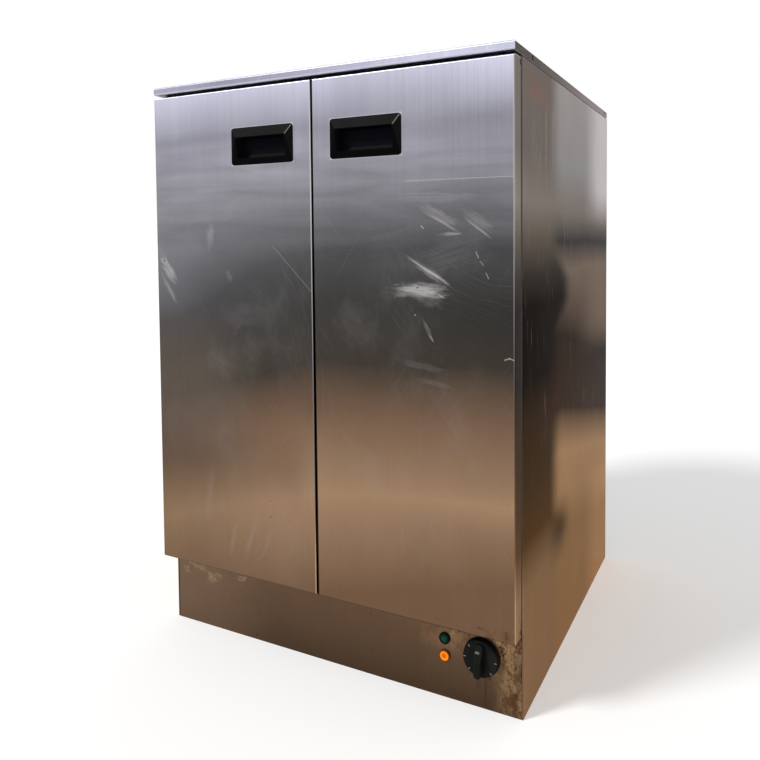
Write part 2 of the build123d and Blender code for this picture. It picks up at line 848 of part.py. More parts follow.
def make_lamp_holders():
    """Black bezel of each lamp, its body with two snap wings behind the panel, and its terminals."""
    holders = []
    for z in lamp_levels.values():
        back_y = y_front + sheet
        end_y = y_front + lamp_body_length
        bezel_y = y_front - lamp_bezel_height
        bezel_centre = (lamp_x, (bezel_y + y_front) / 2, z)
        holder = hole_along("Y", bezel_centre, lamp_bezel_diameter, lamp_bezel_height)
        body_centre = (lamp_x, (y_front + end_y) / 2, z)
        holder += hole_along("Y", body_centre, lamp_body_diameter, lamp_body_length)
        clip_ys = (back_y + seat / 3, back_y + seat / 3 + lamp_clip_depth)
        clip_zs = (z - lamp_clip_width / 2, z + lamp_clip_width / 2)
        holder += block((lamp_x - lamp_clip_span / 2, lamp_x + lamp_clip_span / 2), clip_ys, clip_zs)
        recess = lamp_lens_diameter + 2 * lamp_lens_clearance
        holder -= hole_along("Y", (lamp_x, bezel_y, z), recess, 2 * lamp_bezel_height - 1)
        for offset in (-1, 1):
            holder += blade(lamp_x + offset * lamp_body_diameter / 4, end_y, z)
        holders.append(holder)
    return Compound(children=holders)


def make_lamp_lens(z):
    """A low dome that sits in the bezel."""
    seat_y = y_front - 0.5 - lamp_lens_clearance
    lens = hole_along("Y", (lamp_x, seat_y - lamp_lens_height / 2, z), lamp_lens_diameter, lamp_lens_height)
    return chamfer(face_edges(lens, "Y", seat_y - lamp_lens_height), lamp_lens_edge)


# --- Cavity fittings ----------------------------------------------------------------------------
pilaster_wall_x = cavity_x - seat
pilaster_face_x = pilaster_wall_x - pilaster_depth
pilaster_bottom_z = deck_top_z + pilaster_end_gap
pilaster_top_z = rail_bottom_z - pilaster_end_gap
pilaster_ys = (panel_front_y + pilaster_from_front, cavity_back_y - pilaster_from_back)
runner_back_x = pilaster_face_x - seat / 3
runner_zs = {name: pilaster_bottom_z + slot * slot_pitch for name, slot in shelf_slots.items()}


def make_pilasters():
    """Two slotted strips on the right wall."""
    strips = []
    slot_count = int((pilaster_top_z - pilaster_bottom_z) / slot_pitch - 0.5)
    for y in pilaster_ys:
        strip = folded_tray(
            (pilaster_face_x, pilaster_wall_x),
            (y - pilaster_width / 2, y + pilaster_width / 2),
            (pilaster_bottom_z, pilaster_top_z),
            "-X",
            pilaster_sheet,
            pilaster_sheet + 0.5,
        )
        for index in range(1, slot_count + 1):
            z = pilaster_bottom_z + index * slot_pitch
            strip -= block(
                (pilaster_face_x - 1, pilaster_face_x + 2 * pilaster_sheet),
                (y - slot_width / 2, y + slot_width / 2),
                (z - slot_height / 2, z + slot_height / 2),
            )
        strips.append(strip)
    return Compound(children=strips)


def make_shelf_runners():
    """Two angles on the right wall, hooked into the strips."""
    runners = []
    for z in runner_zs.values():
        ys = (panel_front_y + runner_end_gap, cavity_back_y - runner_end_gap)
        bottom_z = z - slot_height / 2 + seat
        leg_zs = (bottom_z, bottom_z + runner_sheet)
        runner = block((runner_back_x - runner_leg, runner_back_x), ys, leg_zs)
        wall_zs = (bottom_z, bottom_z + runner_leg)
        runner += block((runner_back_x - runner_sheet, runner_back_x), ys, wall_zs)
        runner = fillet(line_edges(runner, "Y", X=runner_back_x, Z=bottom_z), 2 * runner_sheet)
        corner_x = runner_back_x - runner_sheet
        runner = fillet(line_edges(runner, "Y", X=corner_x, Z=bottom_z + runner_sheet), runner_sheet)
        for y in pilaster_ys:
            runner += block(
                (corner_x, pilaster_face_x + runner_tab),
                (y - slot_width / 2 + seat, y + slot_width / 2 - seat),
                (z, z + slot_height / 2 - seat),
            )
        runners.append(runner)
    return Compound(children=runners)


shelf_half = runner_back_x - runner_sheet - shelf_side_gap
shelf_ys = (panel_front_y + shelf_end_gap, cavity_back_y - shelf_end_gap)


def slotted(plate, xs, ys, z, slot, counts):
    """The plate with a grid of slots: slot is each one's length and width."""
    for column in range(counts[0]):
        for row in range(counts[1]):
            x = xs[0] + (column + 0.5) * (xs[1] - xs[0]) / counts[0]
            y = ys[0] + (row + 0.5) * (ys[1] - ys[0]) / counts[1]
            plate -= Pos(x, y, z) * Box(slot[0], slot[1], 4 * shelf_sheet)
    return plate


def make_shelf(name):
    """A slotted shelf, folded down at its front and rear edges, that lies on two runners."""
    bottom_z = runner_zs[name] - slot_height / 2 + 2 * seat + runner_sheet
    front_y, back_y = shelf_ys
    xs = (-shelf_half, shelf_half)
    shelf = block(xs, shelf_ys, (bottom_z, bottom_z + shelf_sheet))
    inside = runner_back_x - runner_leg - 2 * seat
    drop_z = bottom_z + shelf_sheet - shelf_flange
    for y in (front_y, back_y - shelf_sheet):
        shelf += block((-inside, inside), (y, y + shelf_sheet), (drop_z, bottom_z + shelf_sheet))
    for y, inner_y in ((front_y, front_y + shelf_sheet), (back_y, back_y - shelf_sheet)):
        shelf = fillet(line_edges(shelf, "X", Y=y, Z=bottom_z + shelf_sheet), 2 * shelf_sheet)
        inner_edges = line_edges(shelf, "X", Y=inner_y, Z=bottom_z)
        shelf = fillet(inner_edges, shelf_sheet)
    slot = (shelf_slot_length, shelf_slot_width)
    return slotted(shelf, (-inside, inside), shelf_ys, bottom_z, slot, (shelf_column_count, shelf_row_count))


def element_terminals():
    """Where the heater's two ends go down through the deck."""
    back_y = cavity_back_y - element_back_gap
    return [(-element_half_width, back_y), (element_half_width, back_y)]


def make_element():
    """Sheathed heater: one rod bent to a U over the deck, both ends down through it."""
    front_y = panel_front_y + element_front_gap
    z = deck_top_z + element_height
    end_z = deck_top_z - element_terminal_drop
    (left_x, back_y), (right_x, _) = element_terminals()
    points = [
        (left_x, back_y, end_z),
        (left_x, back_y, z),
        (left_x, front_y, z),
        (right_x, front_y, z),
        (right_x, back_y, z),
        (right_x, back_y, end_z),
    ]
    radii = [element_terminal_bend, element_bend, element_bend, element_terminal_bend]
    return tube_along(points, radii, element_diameter)


def make_element_brackets():
    """Two angle brackets on the deck, notched to hold the heater's legs."""
    z = deck_top_z + element_height
    reach = element_half_width + bracket_end
    brackets = []
    for y in (panel_front_y + bracket_front_gap, cavity_back_y - bracket_back_gap):
        base_z = deck_top_z + seat / 3
        bracket = block((-reach, reach), (y, y + bracket_sheet), (base_z, z + bracket_overlap))
        bracket += block((-reach, reach), (y, y + bracket_foot), (base_z, base_z + bracket_sheet))
        for x in (-element_half_width, element_half_width):
            bracket -= hole_along("Y", (x, y, z), element_diameter + 2 * element_fit, 4 * bracket_sheet)
        brackets.append(bracket)
    return Compound(children=brackets)


def make_element_glands():
    """Hexagon nuts, above and below the deck, round each end of the heater."""
    glands = []
    for x, y in element_terminals():
        low_z = deck_top_z - liner_sheet - gland_nut_height
        hexagon = RegularPolygon(gland_nut_width / 2, 6)
        gland = Pos(x, y, low_z) * extrude(hexagon, gland_nut_height)
        gland += Pos(x, y, deck_top_z) * extrude(hexagon, gland_nut_height / 3)
        neck = element_diameter + element_hole_gap - 2 * element_fit
        gland += hole_along("Z", (x, y, deck_top_z), neck, gland_nut_height / 2)
        bore = element_diameter + 2 * element_fit
        gland -= hole_along("Z", (x, y, deck_top_z), bore, 4 * gland_nut_height)
        glands.append(gland)
    return Compound(children=glands)


def make_element_guard():
    """Slotted plate over the heater, folded down to the deck all round."""
    half = cavity_x - guard_side_gap
    front_y = panel_front_y + guard_end_gap
    back_y = cavity_back_y - guard_end_gap
    top_z = deck_top_z + guard_height
    guard = folded_tray(
        (-half, half), (front_y, back_y), (deck_top_z + seat, top_z), "+Z", guard_sheet, 2 * guard_sheet
    )
    slot = (guard_slot_length, guard_slot_width)
    counts = (guard_column_count, guard_row_count)
    return slotted(guard, (-half, half), (front_y, back_y), top_z, slot, counts)


# --- Mains connection ---------------------------------------------------------------------------
def make_cable_gland():
    """Gland through the back panel: a hexagon and a dome outside, a lock nut inside."""

    def facing_back(y):
        return Plane(origin=(cable_x, y, cable_z), x_dir=(1, 0, 0), z_dir=(0, 1, 0))

    def disc(diameter, low_y, high_y):
        return extrude(facing_back(low_y) * Circle(diameter / 2), high_y - low_y)

    def hexagon(low_y, high_y):
        return extrude(facing_back(low_y) * RegularPolygon(cable_gland_width / 2, 6), high_y - low_y)

    out_y = back_panel_y
    in_y = back_panel_y - sheet
    end_y = out_y + cable_gland_dome
    dome = chamfer(face_edges(disc(cable_gland_dome_diameter, out_y, end_y), "Y", end_y), cable_gland_edge)
    gland = dome + disc(cable_gland_thread, in_y - 2 * cable_gland_nut, out_y)
    gland += hexagon(out_y, out_y + cable_gland_nut) + hexagon(in_y - cable_gland_nut, in_y)
    return gland - disc(cable_gland_bore, in_y - 3 * cable_gland_nut, end_y + cable_gland_nut)


def make_terminal_block():
    """Three-way block on the base tray."""
    y = back_panel_y - block_from_back
    body = block(
        (block_x - block_length / 2, block_x + block_length / 2),
        (y - block_width / 2, y + block_width / 2),
        (sheet + seat / 3, sheet + block_height),
    )
    body = chamfer(face_edges(body, "Z", sheet + block_height), block_edge)
    for way in range(block_ways):
        x = block_x + (way - (block_ways - 1) / 2) * block_length / (block_ways + 0.5)
        body -= hole_along("Y", (x, y, sheet + block_height / 2), block_way_diameter, 2 * block_width)
    return body


def all_pieces():
    """Every piece by its node's name."""
    side = make_side_panel()
    liner = make_liner_side()
    pilasters = make_pilasters()
    runners = make_shelf_runners()
    body_leaf, door_leaf, pin = make_hinge()
    pieces = {
        "back_panel": make_back_panel(),
        "lid": make_lid(),
        "lid_stiffeners": make_lid_stiffeners(),
        "plinth_fascia": make_fascia(),
        "base_tray": make_base_tray(),
        "top_rail": make_top_rail(),
        "deck": make_deck(),
        "liner_back": make_liner_back(),
        "liner_ceiling": make_liner_ceiling(),
        "magnet_catches": make_magnet_catches(),
        "knob": make_knob(),
        "thermostat_shaft": make_shaft(),
        "thermostat": make_thermostat(),
        "thermostat_capillary": make_capillary(),
        "phial_clips": make_phial_clips(),
        "lamp_holders": make_lamp_holders(),
        "shelf_lower": make_shelf("lower"),
        "shelf_upper": make_shelf("upper"),
        "heating_element": make_element(),
        "element_brackets": make_element_brackets(),
        "element_glands": make_element_glands(),
        "element_guard": make_element_guard(),
        "cable_gland": make_cable_gland(),
        "terminal_block": make_terminal_block(),
    }
    pieces.update(make_insulation())
    for name, z in lamp_levels.items():
        pieces[f"{name}_lamp_lens"] = make_lamp_lens(z)
    right_hand = {
        "side_panel": side,
        "liner": liner,
        "pilasters": pilasters,
        "shelf_runners": runners,
        "hinge_leaf_body": body_leaf,
        "hinge_leaf_door": door_leaf,
        "hinge_pin": pin,
        "door_skin": make_door_skin(),
        "door_lining": make_door_lining(),
        "door_insulation": make_door_insulation(),
        "door_handle": make_handle(),
        "strike_plate": make_strike_plate(),
    }
    for name, piece in right_hand.items():
        pieces[f"{name}_right"] = piece
        pieces[f"{name}_left"] = left_of(piece)
    return pieces


os.makedirs("parts", exist_ok=True)
for node, piece in all_pieces().items():
    export_step(piece, f"parts/{node}.step")
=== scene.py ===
"""Looks of the plate warmer cabinet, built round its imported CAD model. Metres, the CAD frame."""

import math

import bmesh
import bpy
from mathutils import Matrix, Vector


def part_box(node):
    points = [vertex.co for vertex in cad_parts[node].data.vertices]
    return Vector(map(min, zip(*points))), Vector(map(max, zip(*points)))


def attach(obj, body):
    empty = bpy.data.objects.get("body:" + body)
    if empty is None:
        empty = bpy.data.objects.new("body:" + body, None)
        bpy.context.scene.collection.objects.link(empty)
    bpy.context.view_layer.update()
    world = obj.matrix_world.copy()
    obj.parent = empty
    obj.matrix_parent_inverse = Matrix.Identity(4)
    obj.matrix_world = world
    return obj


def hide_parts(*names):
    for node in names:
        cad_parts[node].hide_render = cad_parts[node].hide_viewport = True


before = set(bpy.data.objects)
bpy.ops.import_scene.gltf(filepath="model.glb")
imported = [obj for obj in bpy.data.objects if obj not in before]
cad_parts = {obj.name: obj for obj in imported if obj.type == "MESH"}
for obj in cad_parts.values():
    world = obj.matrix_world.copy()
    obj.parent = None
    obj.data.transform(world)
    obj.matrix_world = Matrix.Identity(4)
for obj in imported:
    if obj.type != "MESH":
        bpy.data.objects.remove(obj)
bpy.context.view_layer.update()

# --- Camera ------------------------------------------------------------------------------------
picture_side = 760
focal_pixels = 687.928
centre_pixel = (439.373, 268.54)
sensor_width = 36.0  # millimetres
camera_azimuth = math.radians(25.314)
camera_elevation = math.radians(2.332)
camera_roll = math.radians(-0.331)
camera_place = Vector((0.5993, -1.12768, 0.64777))

# --- Places of the CAD model that the looks refer to ---------------------------------------------
door_low, door_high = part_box("door_skin_right")
lid_low, lid_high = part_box("lid")
plinth_low, plinth_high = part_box("plinth_fascia")
knob_low, knob_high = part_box("knob")
pull_boxes = {side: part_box("door_handle_" + side) for side in ("left", "right")}
lens_boxes = {colour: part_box(colour + "_lamp_lens") for colour in ("green", "amber")}

half_width = lid_high.x
door_front = door_low.y
door_top = door_high.z
door_edge = door_low.x  # the right door's free edge; the left door's is at -door_edge
lid_bottom = lid_low.z
knob_x = (knob_low.x + knob_high.x) / 2
knob_z = (knob_low.z + knob_high.z) / 2
knob_face_y = knob_high.y - 0.007  # the dial's face, 7 mm before the back of its skirt
lens_radius = (lens_boxes["amber"][1].z - lens_boxes["amber"][0].z) / 2
lamp_x = lens_boxes["amber"][1].x - lens_radius
lamp_z = {colour: (box[0].z + box[1].z) / 2 for colour, box in lens_boxes.items()}
lamp_middle_z = sum(lamp_z.values()) / 2
lip_drop = 0.015  # top of a pull to the lip of its hood
lip_inset = 0.0105  # side of a pull to the end of its lip

up_axis = Vector((0.0, 0.0, 1.0))
right_axis = Vector((1.0, 0.0, 0.0))


def add_object(name, data):
    """A new object in the scene."""
    item = bpy.data.objects.new(name, data)
    bpy.context.scene.collection.objects.link(item)
    return item


def placed(place, right, up, out):
    """The matrix of an object at a place, with its own X, Y and Z along these directions."""
    turn = Matrix((right, up, out)).transposed().to_4x4()
    return Matrix.Translation(place) @ turn


def make_camera():
    """The photograph's viewpoint, with the shift that its framing needs."""
    forward = Vector(
        (
            -math.sin(camera_azimuth) * math.cos(camera_elevation),
            math.cos(camera_azimuth) * math.cos(camera_elevation),
            -math.sin(camera_elevation),
        )
    )
    right = forward.cross(up_axis).normalized()
    up = right.cross(forward)
    rolled_right = right * math.cos(camera_roll) + up * math.sin(camera_roll)
    rolled_up = up * math.cos(camera_roll) - right * math.sin(camera_roll)
    data = bpy.data.cameras.new("camera")
    data.sensor_width = sensor_width
    data.lens = focal_pixels / picture_side * sensor_width
    data.shift_x = (picture_side / 2 - centre_pixel[0]) / picture_side
    data.shift_y = (centre_pixel[1] - picture_side / 2) / picture_side
    data.clip_start = 0.01
    camera = add_object("camera", data)
    camera.matrix_world = placed(camera_place, rolled_right, rolled_up, -forward)
    bpy.context.scene.camera = camera


# --- Painting with nodes -------------------------------------------------------------------------
def linear(red, green, blue):
    """A colour given as it looks on a screen, 0 to 255, as the numbers a shader takes."""
    channels = []
    for value in (red, green, blue):
        share = value / 255
        channels.append(share / 12.92 if share <= 0.04045 else ((share + 0.055) / 1.055) ** 2.4)
    return (*channels, 1.0)


def darker(shade, factor):
    return tuple(value * factor for value in shade)


class Paint:
    """One material's nodes. Places are the object's own metres, which are the CAD frame's.

    A shade is three numbers from 0 to 255, a colour is what a shader takes, and a mask or share
    is a number from 0 to 1. The paint's own colour is what has been laid so far. Edge is how
    bright a metal gets where it is seen at a slant.
    """

    def __init__(self, name, metallic, roughness, specular=0.5, edge=1.0):
        self.material = bpy.data.materials.new(name)
        self.material.use_nodes = True
        self.tree = self.material.node_tree
        self.tree.nodes.clear()
        output = self.node("OutputMaterial")
        self.shader = self.node("BsdfPrincipled")
        self.tree.links.new(self.shader.outputs[0], output.inputs[0])
        self.set("Metallic", metallic)
        self.set("Roughness", roughness)
        self.set("Specular IOR Level", specular)
        self.set("Specular Tint", (edge, edge, edge, 1.0))
        coordinates = self.node("TexCoord")
        self.place = coordinates.outputs["Object"]
        self.x, self.y, self.z = self.split(self.place)
        self.facing_x, self.facing_y, self.facing_z = self.split(coordinates.outputs["Normal"])
        self.front = self.combine(self.x, 0.0, self.z)
        self.colour = None

    def node(self, kind, **settings):
        """A new node with its settings."""
        node = self.tree.nodes.new("ShaderNode" + kind)
        for name, value in settings.items():
            setattr(node, name, value)
        return node

    def feed(self, socket, value):
        """Puts a number, a colour or another node's output into a socket."""
        if isinstance(value, bpy.types.NodeSocket):
            self.tree.links.new(value, socket)
        else:
            socket.default_value = value

    def set(self, name, value):
        """Sets one of the shader's own values."""
        self.feed(self.shader.inputs[name], value)

    def split(self, vector):
        node = self.node("SeparateXYZ")
        self.feed(node.inputs[0], vector)
        return node.outputs

    def combine(self, x, y, z):
        node = self.node("CombineXYZ")
        for socket, value in zip(node.inputs, (x, y, z)):
            self.feed(socket, value)
        return node.outputs[0]

    def math(self, operation, first, second=0.0, third=0.0):
        node = self.node("Math", operation=operation)
        for socket, value in zip(node.inputs, (first, second, third)):
            self.feed(socket, value)
        return node.outputs[0]

    def add(self, *values):
        total = values[0]
        for value in values[1:]:
            total = self.math("ADD", total, value)
        return total

    def times(self, *values):
        total = values[0]
        for value in values[1:]:
            total = self.math("MULTIPLY", total, value)
        return total

    def size(self, value):
        return self.math("ABSOLUTE", value)

    def at_least(self, value, limit):
        return self.math("MAXIMUM", value, limit)

    def at_most(self, value, limit):
        return self.math("MINIMUM", value, limit)

    def scaled(self, value, factor, plus):
        return self.math("MULTIPLY_ADD", value, factor, plus)

    def centred(self, value, amount):
        """Noise turned into a factor round 1."""
        return self.scaled(value, 2 * amount, 1 - amount)

    def swing(self, value, amount):
        """Noise turned into a number round 0."""
        return self.scaled(value, 2 * amount, -amount)

    def vector_math(self, operation, first, second):
        node = self.node("VectorMath", operation=operation)
        self.feed(node.inputs[0], first)
        self.feed(node.inputs["Scale" if operation == "SCALE" else 1], second)
        return node.outputs["Value"] if operation in ("DOT_PRODUCT", "DISTANCE") else node.outputs[0]

    def distance(self, vector, other):
        return self.vector_math("DISTANCE", vector, other)

    def step(self, value, low, high):
        """Rises smoothly from 0 at low to 1 at high; low may be the larger number."""
        node = self.node("MapRange", interpolation_type="SMOOTHSTEP")
        ends = (low, high, 0.0, 1.0) if low < high else (high, low, 1.0, 0.0)
        self.feed(node.inputs[0], value)
        for socket, number in zip(node.inputs[1:5], ends):
            socket.default_value = number
        return node.outputs[0]

    def band(self, value, low, high, soft):
        """1 between low and high, falling off over soft on either side."""
        return self.times(
            self.step(value, low - soft, low + soft), self.step(value, high + soft, high - soft)
        )

    def area(self, *limits):
        """1 inside all limits: a value with its step's low and high, or its band's low, high and soft."""
        parts = (self.step(*limit) if len(limit) == 3 else self.band(*limit) for limit in limits)
        return self.times(*parts)

    def noise(self, scale, detail=2.0, roughness=0.5, offset=0.0, distortion=0.0, at=None):
        """Noise with one scale or a scale for each axis, in waves to a metre. Its middle is 0.5."""
        scales = scale if isinstance(scale, tuple) else (scale, scale, scale)
        scaled = self.vector_math("MULTIPLY", at or self.place, scales)
        moved = self.vector_math("ADD", scaled, (offset, offset * 1.7, offset * 0.6))
        node = self.node("TexNoise")
        node.inputs["Scale"].default_value = 1.0
        node.inputs["Detail"].default_value = detail
        node.inputs["Roughness"].default_value = roughness
        node.inputs["Distortion"].default_value = distortion
        self.feed(node.inputs["Vector"], moved)
        return node.outputs["Fac"]

    def patches(self, scale, low, high, **kind):
        """Noise cut into patches: 0 below low and 1 above high."""
        return self.step(self.noise(scale, **kind), low, high)

    def ramp(self, value, stops):
        """A colour ramp; stops are (place, shade)."""
        node = self.node("ValToRGB")
        elements = node.color_ramp.elements
        low, high = stops[0][0], stops[-1][0]
        elements[0].color = linear(*stops[0][1])
        elements[1].color = linear(*stops[-1][1])
        for place, shade in stops[1:-1]:
            elements.new((place - low) / (high - low)).color = linear(*shade)
        self.feed(node.inputs[0], self.scaled(value, 1 / (high - low), -low / (high - low)))
        return node.outputs["Color"]

    def blend(self, share, under, over):
        node = self.node("Mix", data_type="RGBA")
        self.feed(node.inputs[0], share)
        self.feed(node.inputs[6], under)
        self.feed(node.inputs[7], over)
        return node.outputs[2]

    def coat(self, shade, *shares):
        """Lays a shade over the colour, as much as the product of the shares says."""
        self.colour = self.blend(self.times(*shares), self.colour, linear(*shade))

    def lighten(self, factor):
        """Makes the colour lighter or darker by a number round 1."""
        self.colour = self.vector_math("SCALE", self.colour, factor)

    def stroke(self, start, end, width, soft):
        """A mark from start to end, given as (x, z) on a surface that faces the front."""
        run = Vector((end[0] - start[0], 0.0, end[1] - start[1]))
        span = max(run.length_squared, 1e-12)
        offset = self.vector_math("SUBTRACT", self.front, (start[0], 0.0, start[1]))
        along = self.vector_math("DOT_PRODUCT", offset, tuple(run / span))
        along = self.at_most(self.at_least(along, 0.0), 1.0)
        foot = self.vector_math("SCALE", tuple(run), along)
        distance = self.distance(offset, foot)
        return self.step(distance, width / 2 + soft, max(width / 2 - soft, 0.0))

    def smear(self, start, end, width, fineness=0.0011):
        """A wiped patch from start to end, (x, z), streaky along its run, with a ragged, fading rim.

        Fineness is how far apart the streaks are.
        """
        run = Vector((end[0] - start[0], 0.0, end[1] - start[1]))
        middle = (start[0] + run.x / 2, 0.0, start[1] + run.z / 2)
        across = Vector((-run.z, 0.0, run.x)).normalized()
        offset = self.vector_math("SUBTRACT", self.front, middle)
        along = self.vector_math("DOT_PRODUCT", offset, tuple(run * 2 / run.length_squared))
        aside = self.vector_math("DOT_PRODUCT", offset, tuple(across * 2 / width))
        local = self.combine(along, aside, 0.0)
        rim = self.noise((2.2, 1.6, 1.0), detail=4.0, roughness=0.6, offset=end[1] * 40, at=local)
        reach = self.add(self.distance(local, (0.0, 0.0, 0.0)), self.swing(rim, 0.75))
        across_streaks = (1.1, width / 2 / fineness, 1.0)
        streaks = self.noise(across_streaks, detail=3.0, offset=start[0] * 50, at=local)
        return self.times(self.step(reach, 1.0, 0.25), self.step(streaks, 0.2, 0.6))

    def covered(self, masks):
        """How much of a surface is covered by marks that lie one over another.

        Each mark's place waits for the mark before it, by a shift of a millionth of a metre,
        because Cycles can't hold the values of so many marks at once.
        """
        bare = 1.0
        front = self.front
        for mask in masks:
            bare = self.times(bare, self.math("SUBTRACT", 1.0, mask))
            self.front = self.combine(self.x, self.times(bare, 1e-6), self.z)
        self.front = front
        return self.math("SUBTRACT", 1.0, bare)

    def swirl(self, centre, radius, width, strength, fineness=0.0016):
        """Part of a ring of fine wiping arcs round a centre, (x, z)."""
        distance = self.distance(self.front, (centre[0], 0.0, centre[1]))
        distance = self.add(distance, self.swing(self.noise(13.0, offset=radius * 30), 0.02))
        arcs = self.noise((1 / fineness, 1.0, 1.0), detail=3.0, at=self.combine(distance, 0.0, 0.0))
        ring = self.band(distance, radius - width / 2, radius + width / 2, width / 3)
        return self.times(ring, self.step(arcs, 0.45, 0.75), strength)

    def scratches(self, turn, low, strength, offset):
        """Hairlines at an angle to the upright, in degrees, in loose groups."""
        node = self.node("VectorRotate", rotation_type="Y_AXIS")
        node.inputs["Angle"].default_value = math.radians(turn)
        self.feed(node.inputs["Vector"], self.place)
        lines = self.noise((700.0, 30.0, 4.5), detail=3.0, offset=offset, at=node.outputs[0])
        group = self.patches(11.0, 0.45, 0.68, offset=offset)
        return self.times(self.step(lines, low, low + 0.08), group, strength)

    def roughen(self, noise, least, spread):
        """Roughness that follows a noise."""
        self.set("Roughness", self.scaled(noise, spread, least))

    def bump(self, height, strength, distance):
        node = self.node("Bump")
        node.inputs["Strength"].default_value = strength
        node.inputs["Distance"].default_value = distance
        self.feed(node.inputs["Height"], height)
        self.set("Normal", node.outputs[0])

    def done(self):
        """The finished material."""
        self.set("Base Color", self.colour)
        return self.material


grain_bump = {"strength": 0.08, "distance": 0.0004}


def brushed(paint, across=420.0, along=3.0, amount=0.07):
    """The material, with a fine grain along Z: streaks, slow mottling, specks and uneven gloss."""
    grain = paint.noise((across, across, along), detail=3.0, roughness=0.6)
    mottle = paint.noise((14.0, 14.0, 8.0), detail=4.0, roughness=0.6, offset=4.2)
    speck = paint.noise(900.0, detail=1.0, offset=1.3)
    factor = paint.times(
        paint.centred(grain, amount), paint.centred(mottle, 0.09), paint.centred(speck, 0.05)
    )
    paint.roughen(grain, 0.3, 0.12)
    paint.bump(grain, **grain_bump)
    paint.lighten(factor)
    return paint.done()


# --- Tones of the outer steel, painted reflections of the room on the doors and sides ------------
# Each list gives (height, shade).
# The doors' painted reflections of the room: tan low down, a dark band in the middle, pale above.
door_reflection_stops = [
    (0.119, (114, 88, 67)),
    (0.19, (136, 108, 85)),
    (0.275, (157, 127, 100)),
    (0.4, (114, 90, 73)),
    (0.475, (62, 56, 50)),
    (0.56, (60, 59, 57)),
    (0.635, (75, 74, 76)),
    (0.675, (98, 97, 101)),
    (0.74, (131, 130, 137)),
    (0.775, (138, 137, 147)),
    (0.81, (126, 125, 135)),
    (0.883, (168, 168, 184)),
]
# Painted reflections on a side's front part, also used on the doors' sides.
side_front_reflection_stops = [
    (0.0, (190, 150, 114)),
    (0.17, (176, 139, 102)),
    (0.235, (112, 80, 50)),
    (0.31, (90, 69, 48)),
    (0.4, (70, 53, 40)),
    (0.46, (42, 36, 31)),
    (0.56, (42, 37, 33)),
    (0.6, (68, 63, 58)),
    (0.65, (112, 102, 92)),
    (0.7, (150, 140, 131)),
    (0.77, (132, 123, 116)),
    (0.888, (134, 124, 119)),
]
# Painted reflections on a side's rear part.
side_rear_reflection_stops = [
    (0.0, (198, 154, 106)),
    (0.19, (185, 142, 98)),
    (0.25, (205, 162, 118)),
    (0.315, (202, 160, 118)),
    (0.385, (72, 54, 42)),
    (0.5, (60, 46, 38)),
    (0.6, (140, 121, 106)),
    (0.645, (72, 69, 70)),
    (0.69, (146, 136, 128)),
    (0.77, (172, 168, 168)),
    (0.888, (186, 178, 176)),
]
plinth_stops = [
    (0.0, (75, 58, 43)),
    (0.05, (90, 70, 53)),
    (0.1175, (102, 79, 61)),
]

# Marks on the doors. A start, an end or a centre is (x, z), in metres.
# Wiped patches: (start, end, width, strength).
smears = [
    ((0.1437, 0.633), (0.2301, 0.5828), 0.005, 0.75),
    ((0.16, 0.623), (0.225, 0.583), 0.014, 0.35),
    ((0.1204, 0.5783), (0.2272, 0.5817), 0.024, 0.6),
    ((0.1401, 0.586), (0.2139, 0.5735), 0.018, 0.6),
    ((0.15, 0.59), (0.215, 0.56), 0.04, 0.18),
    ((0.1987, 0.578), (0.2139, 0.57), 0.003, 0.65),
    ((0.1759, 0.6902), (0.2394, 0.6563), 0.005, 0.55),
    ((0.17, 0.7), (0.24, 0.664), 0.018, 0.28),
    ((0.2035, 0.656), (0.2424, 0.6573), 0.006, 0.5),
    ((0.2395, 0.68), (0.2799, 0.6506), 0.0045, 0.45),
    ((0.247, 0.672), (0.285, 0.647), 0.0026, 0.35),
    ((0.232, 0.692), (0.288, 0.658), 0.02, 0.22),
    ((0.1779, 0.5451), (0.1963, 0.5096), 0.008, 0.22),
    ((0.188, 0.522), (0.198, 0.5085), 0.004, 0.4),
    ((0.1326, 0.4828), (0.2326, 0.4704), 0.014, 0.1),
    ((0.1646, 0.4594), (0.2295, 0.4492), 0.01, 0.1),
    ((0.15, 0.61), (0.29, 0.65), 0.07, 0.08),
    ((0.11, 0.709), (0.275, 0.703), 0.02, 0.18),
    ((0.06, 0.78), (0.24, 0.83), 0.09, 0.08),
    ((-0.3086, 0.633), (-0.2677, 0.578), 0.018, 0.8),
    ((-0.306, 0.615), (-0.278, 0.58), 0.009, 0.5),
    ((-0.3067, 0.6001), (-0.267, 0.5413), 0.01, 0.45),
    ((-0.193, 0.68), (-0.2, 0.634), 0.018, 0.3),
    ((-0.165, 0.607), (-0.1545, 0.582), 0.014, 0.16),
    ((-0.1881, 0.5297), (-0.066, 0.538), 0.05, 0.06),
    ((-0.215, 0.47), (-0.15, 0.44), 0.05, 0.05),
    ((-0.15, 0.215), (-0.17, 0.135), 0.012, 0.1),
    ((-0.11, 0.225), (-0.14, 0.14), 0.014, 0.12),
    ((-0.08, 0.21), (-0.105, 0.15), 0.01, 0.1),
    ((-0.2, 0.3), (-0.215, 0.18), 0.02, 0.06),
    ((0.03, 0.56), (0.11, 0.5), 0.08, 0.06),
    ((0.06, 0.35), (0.13, 0.29), 0.07, 0.05),
]
# Arcs from wiping: (centre, radius, width, strength).
swirls = [
    ((-0.33, 0.42), 0.34, 0.09, 0.07),
    ((-0.3, 0.3), 0.33, 0.05, 0.04),
    ((0.06, 0.83), 0.18, 0.07, 0.08),
    ((0.36, 0.82), 0.26, 0.08, 0.06),
]
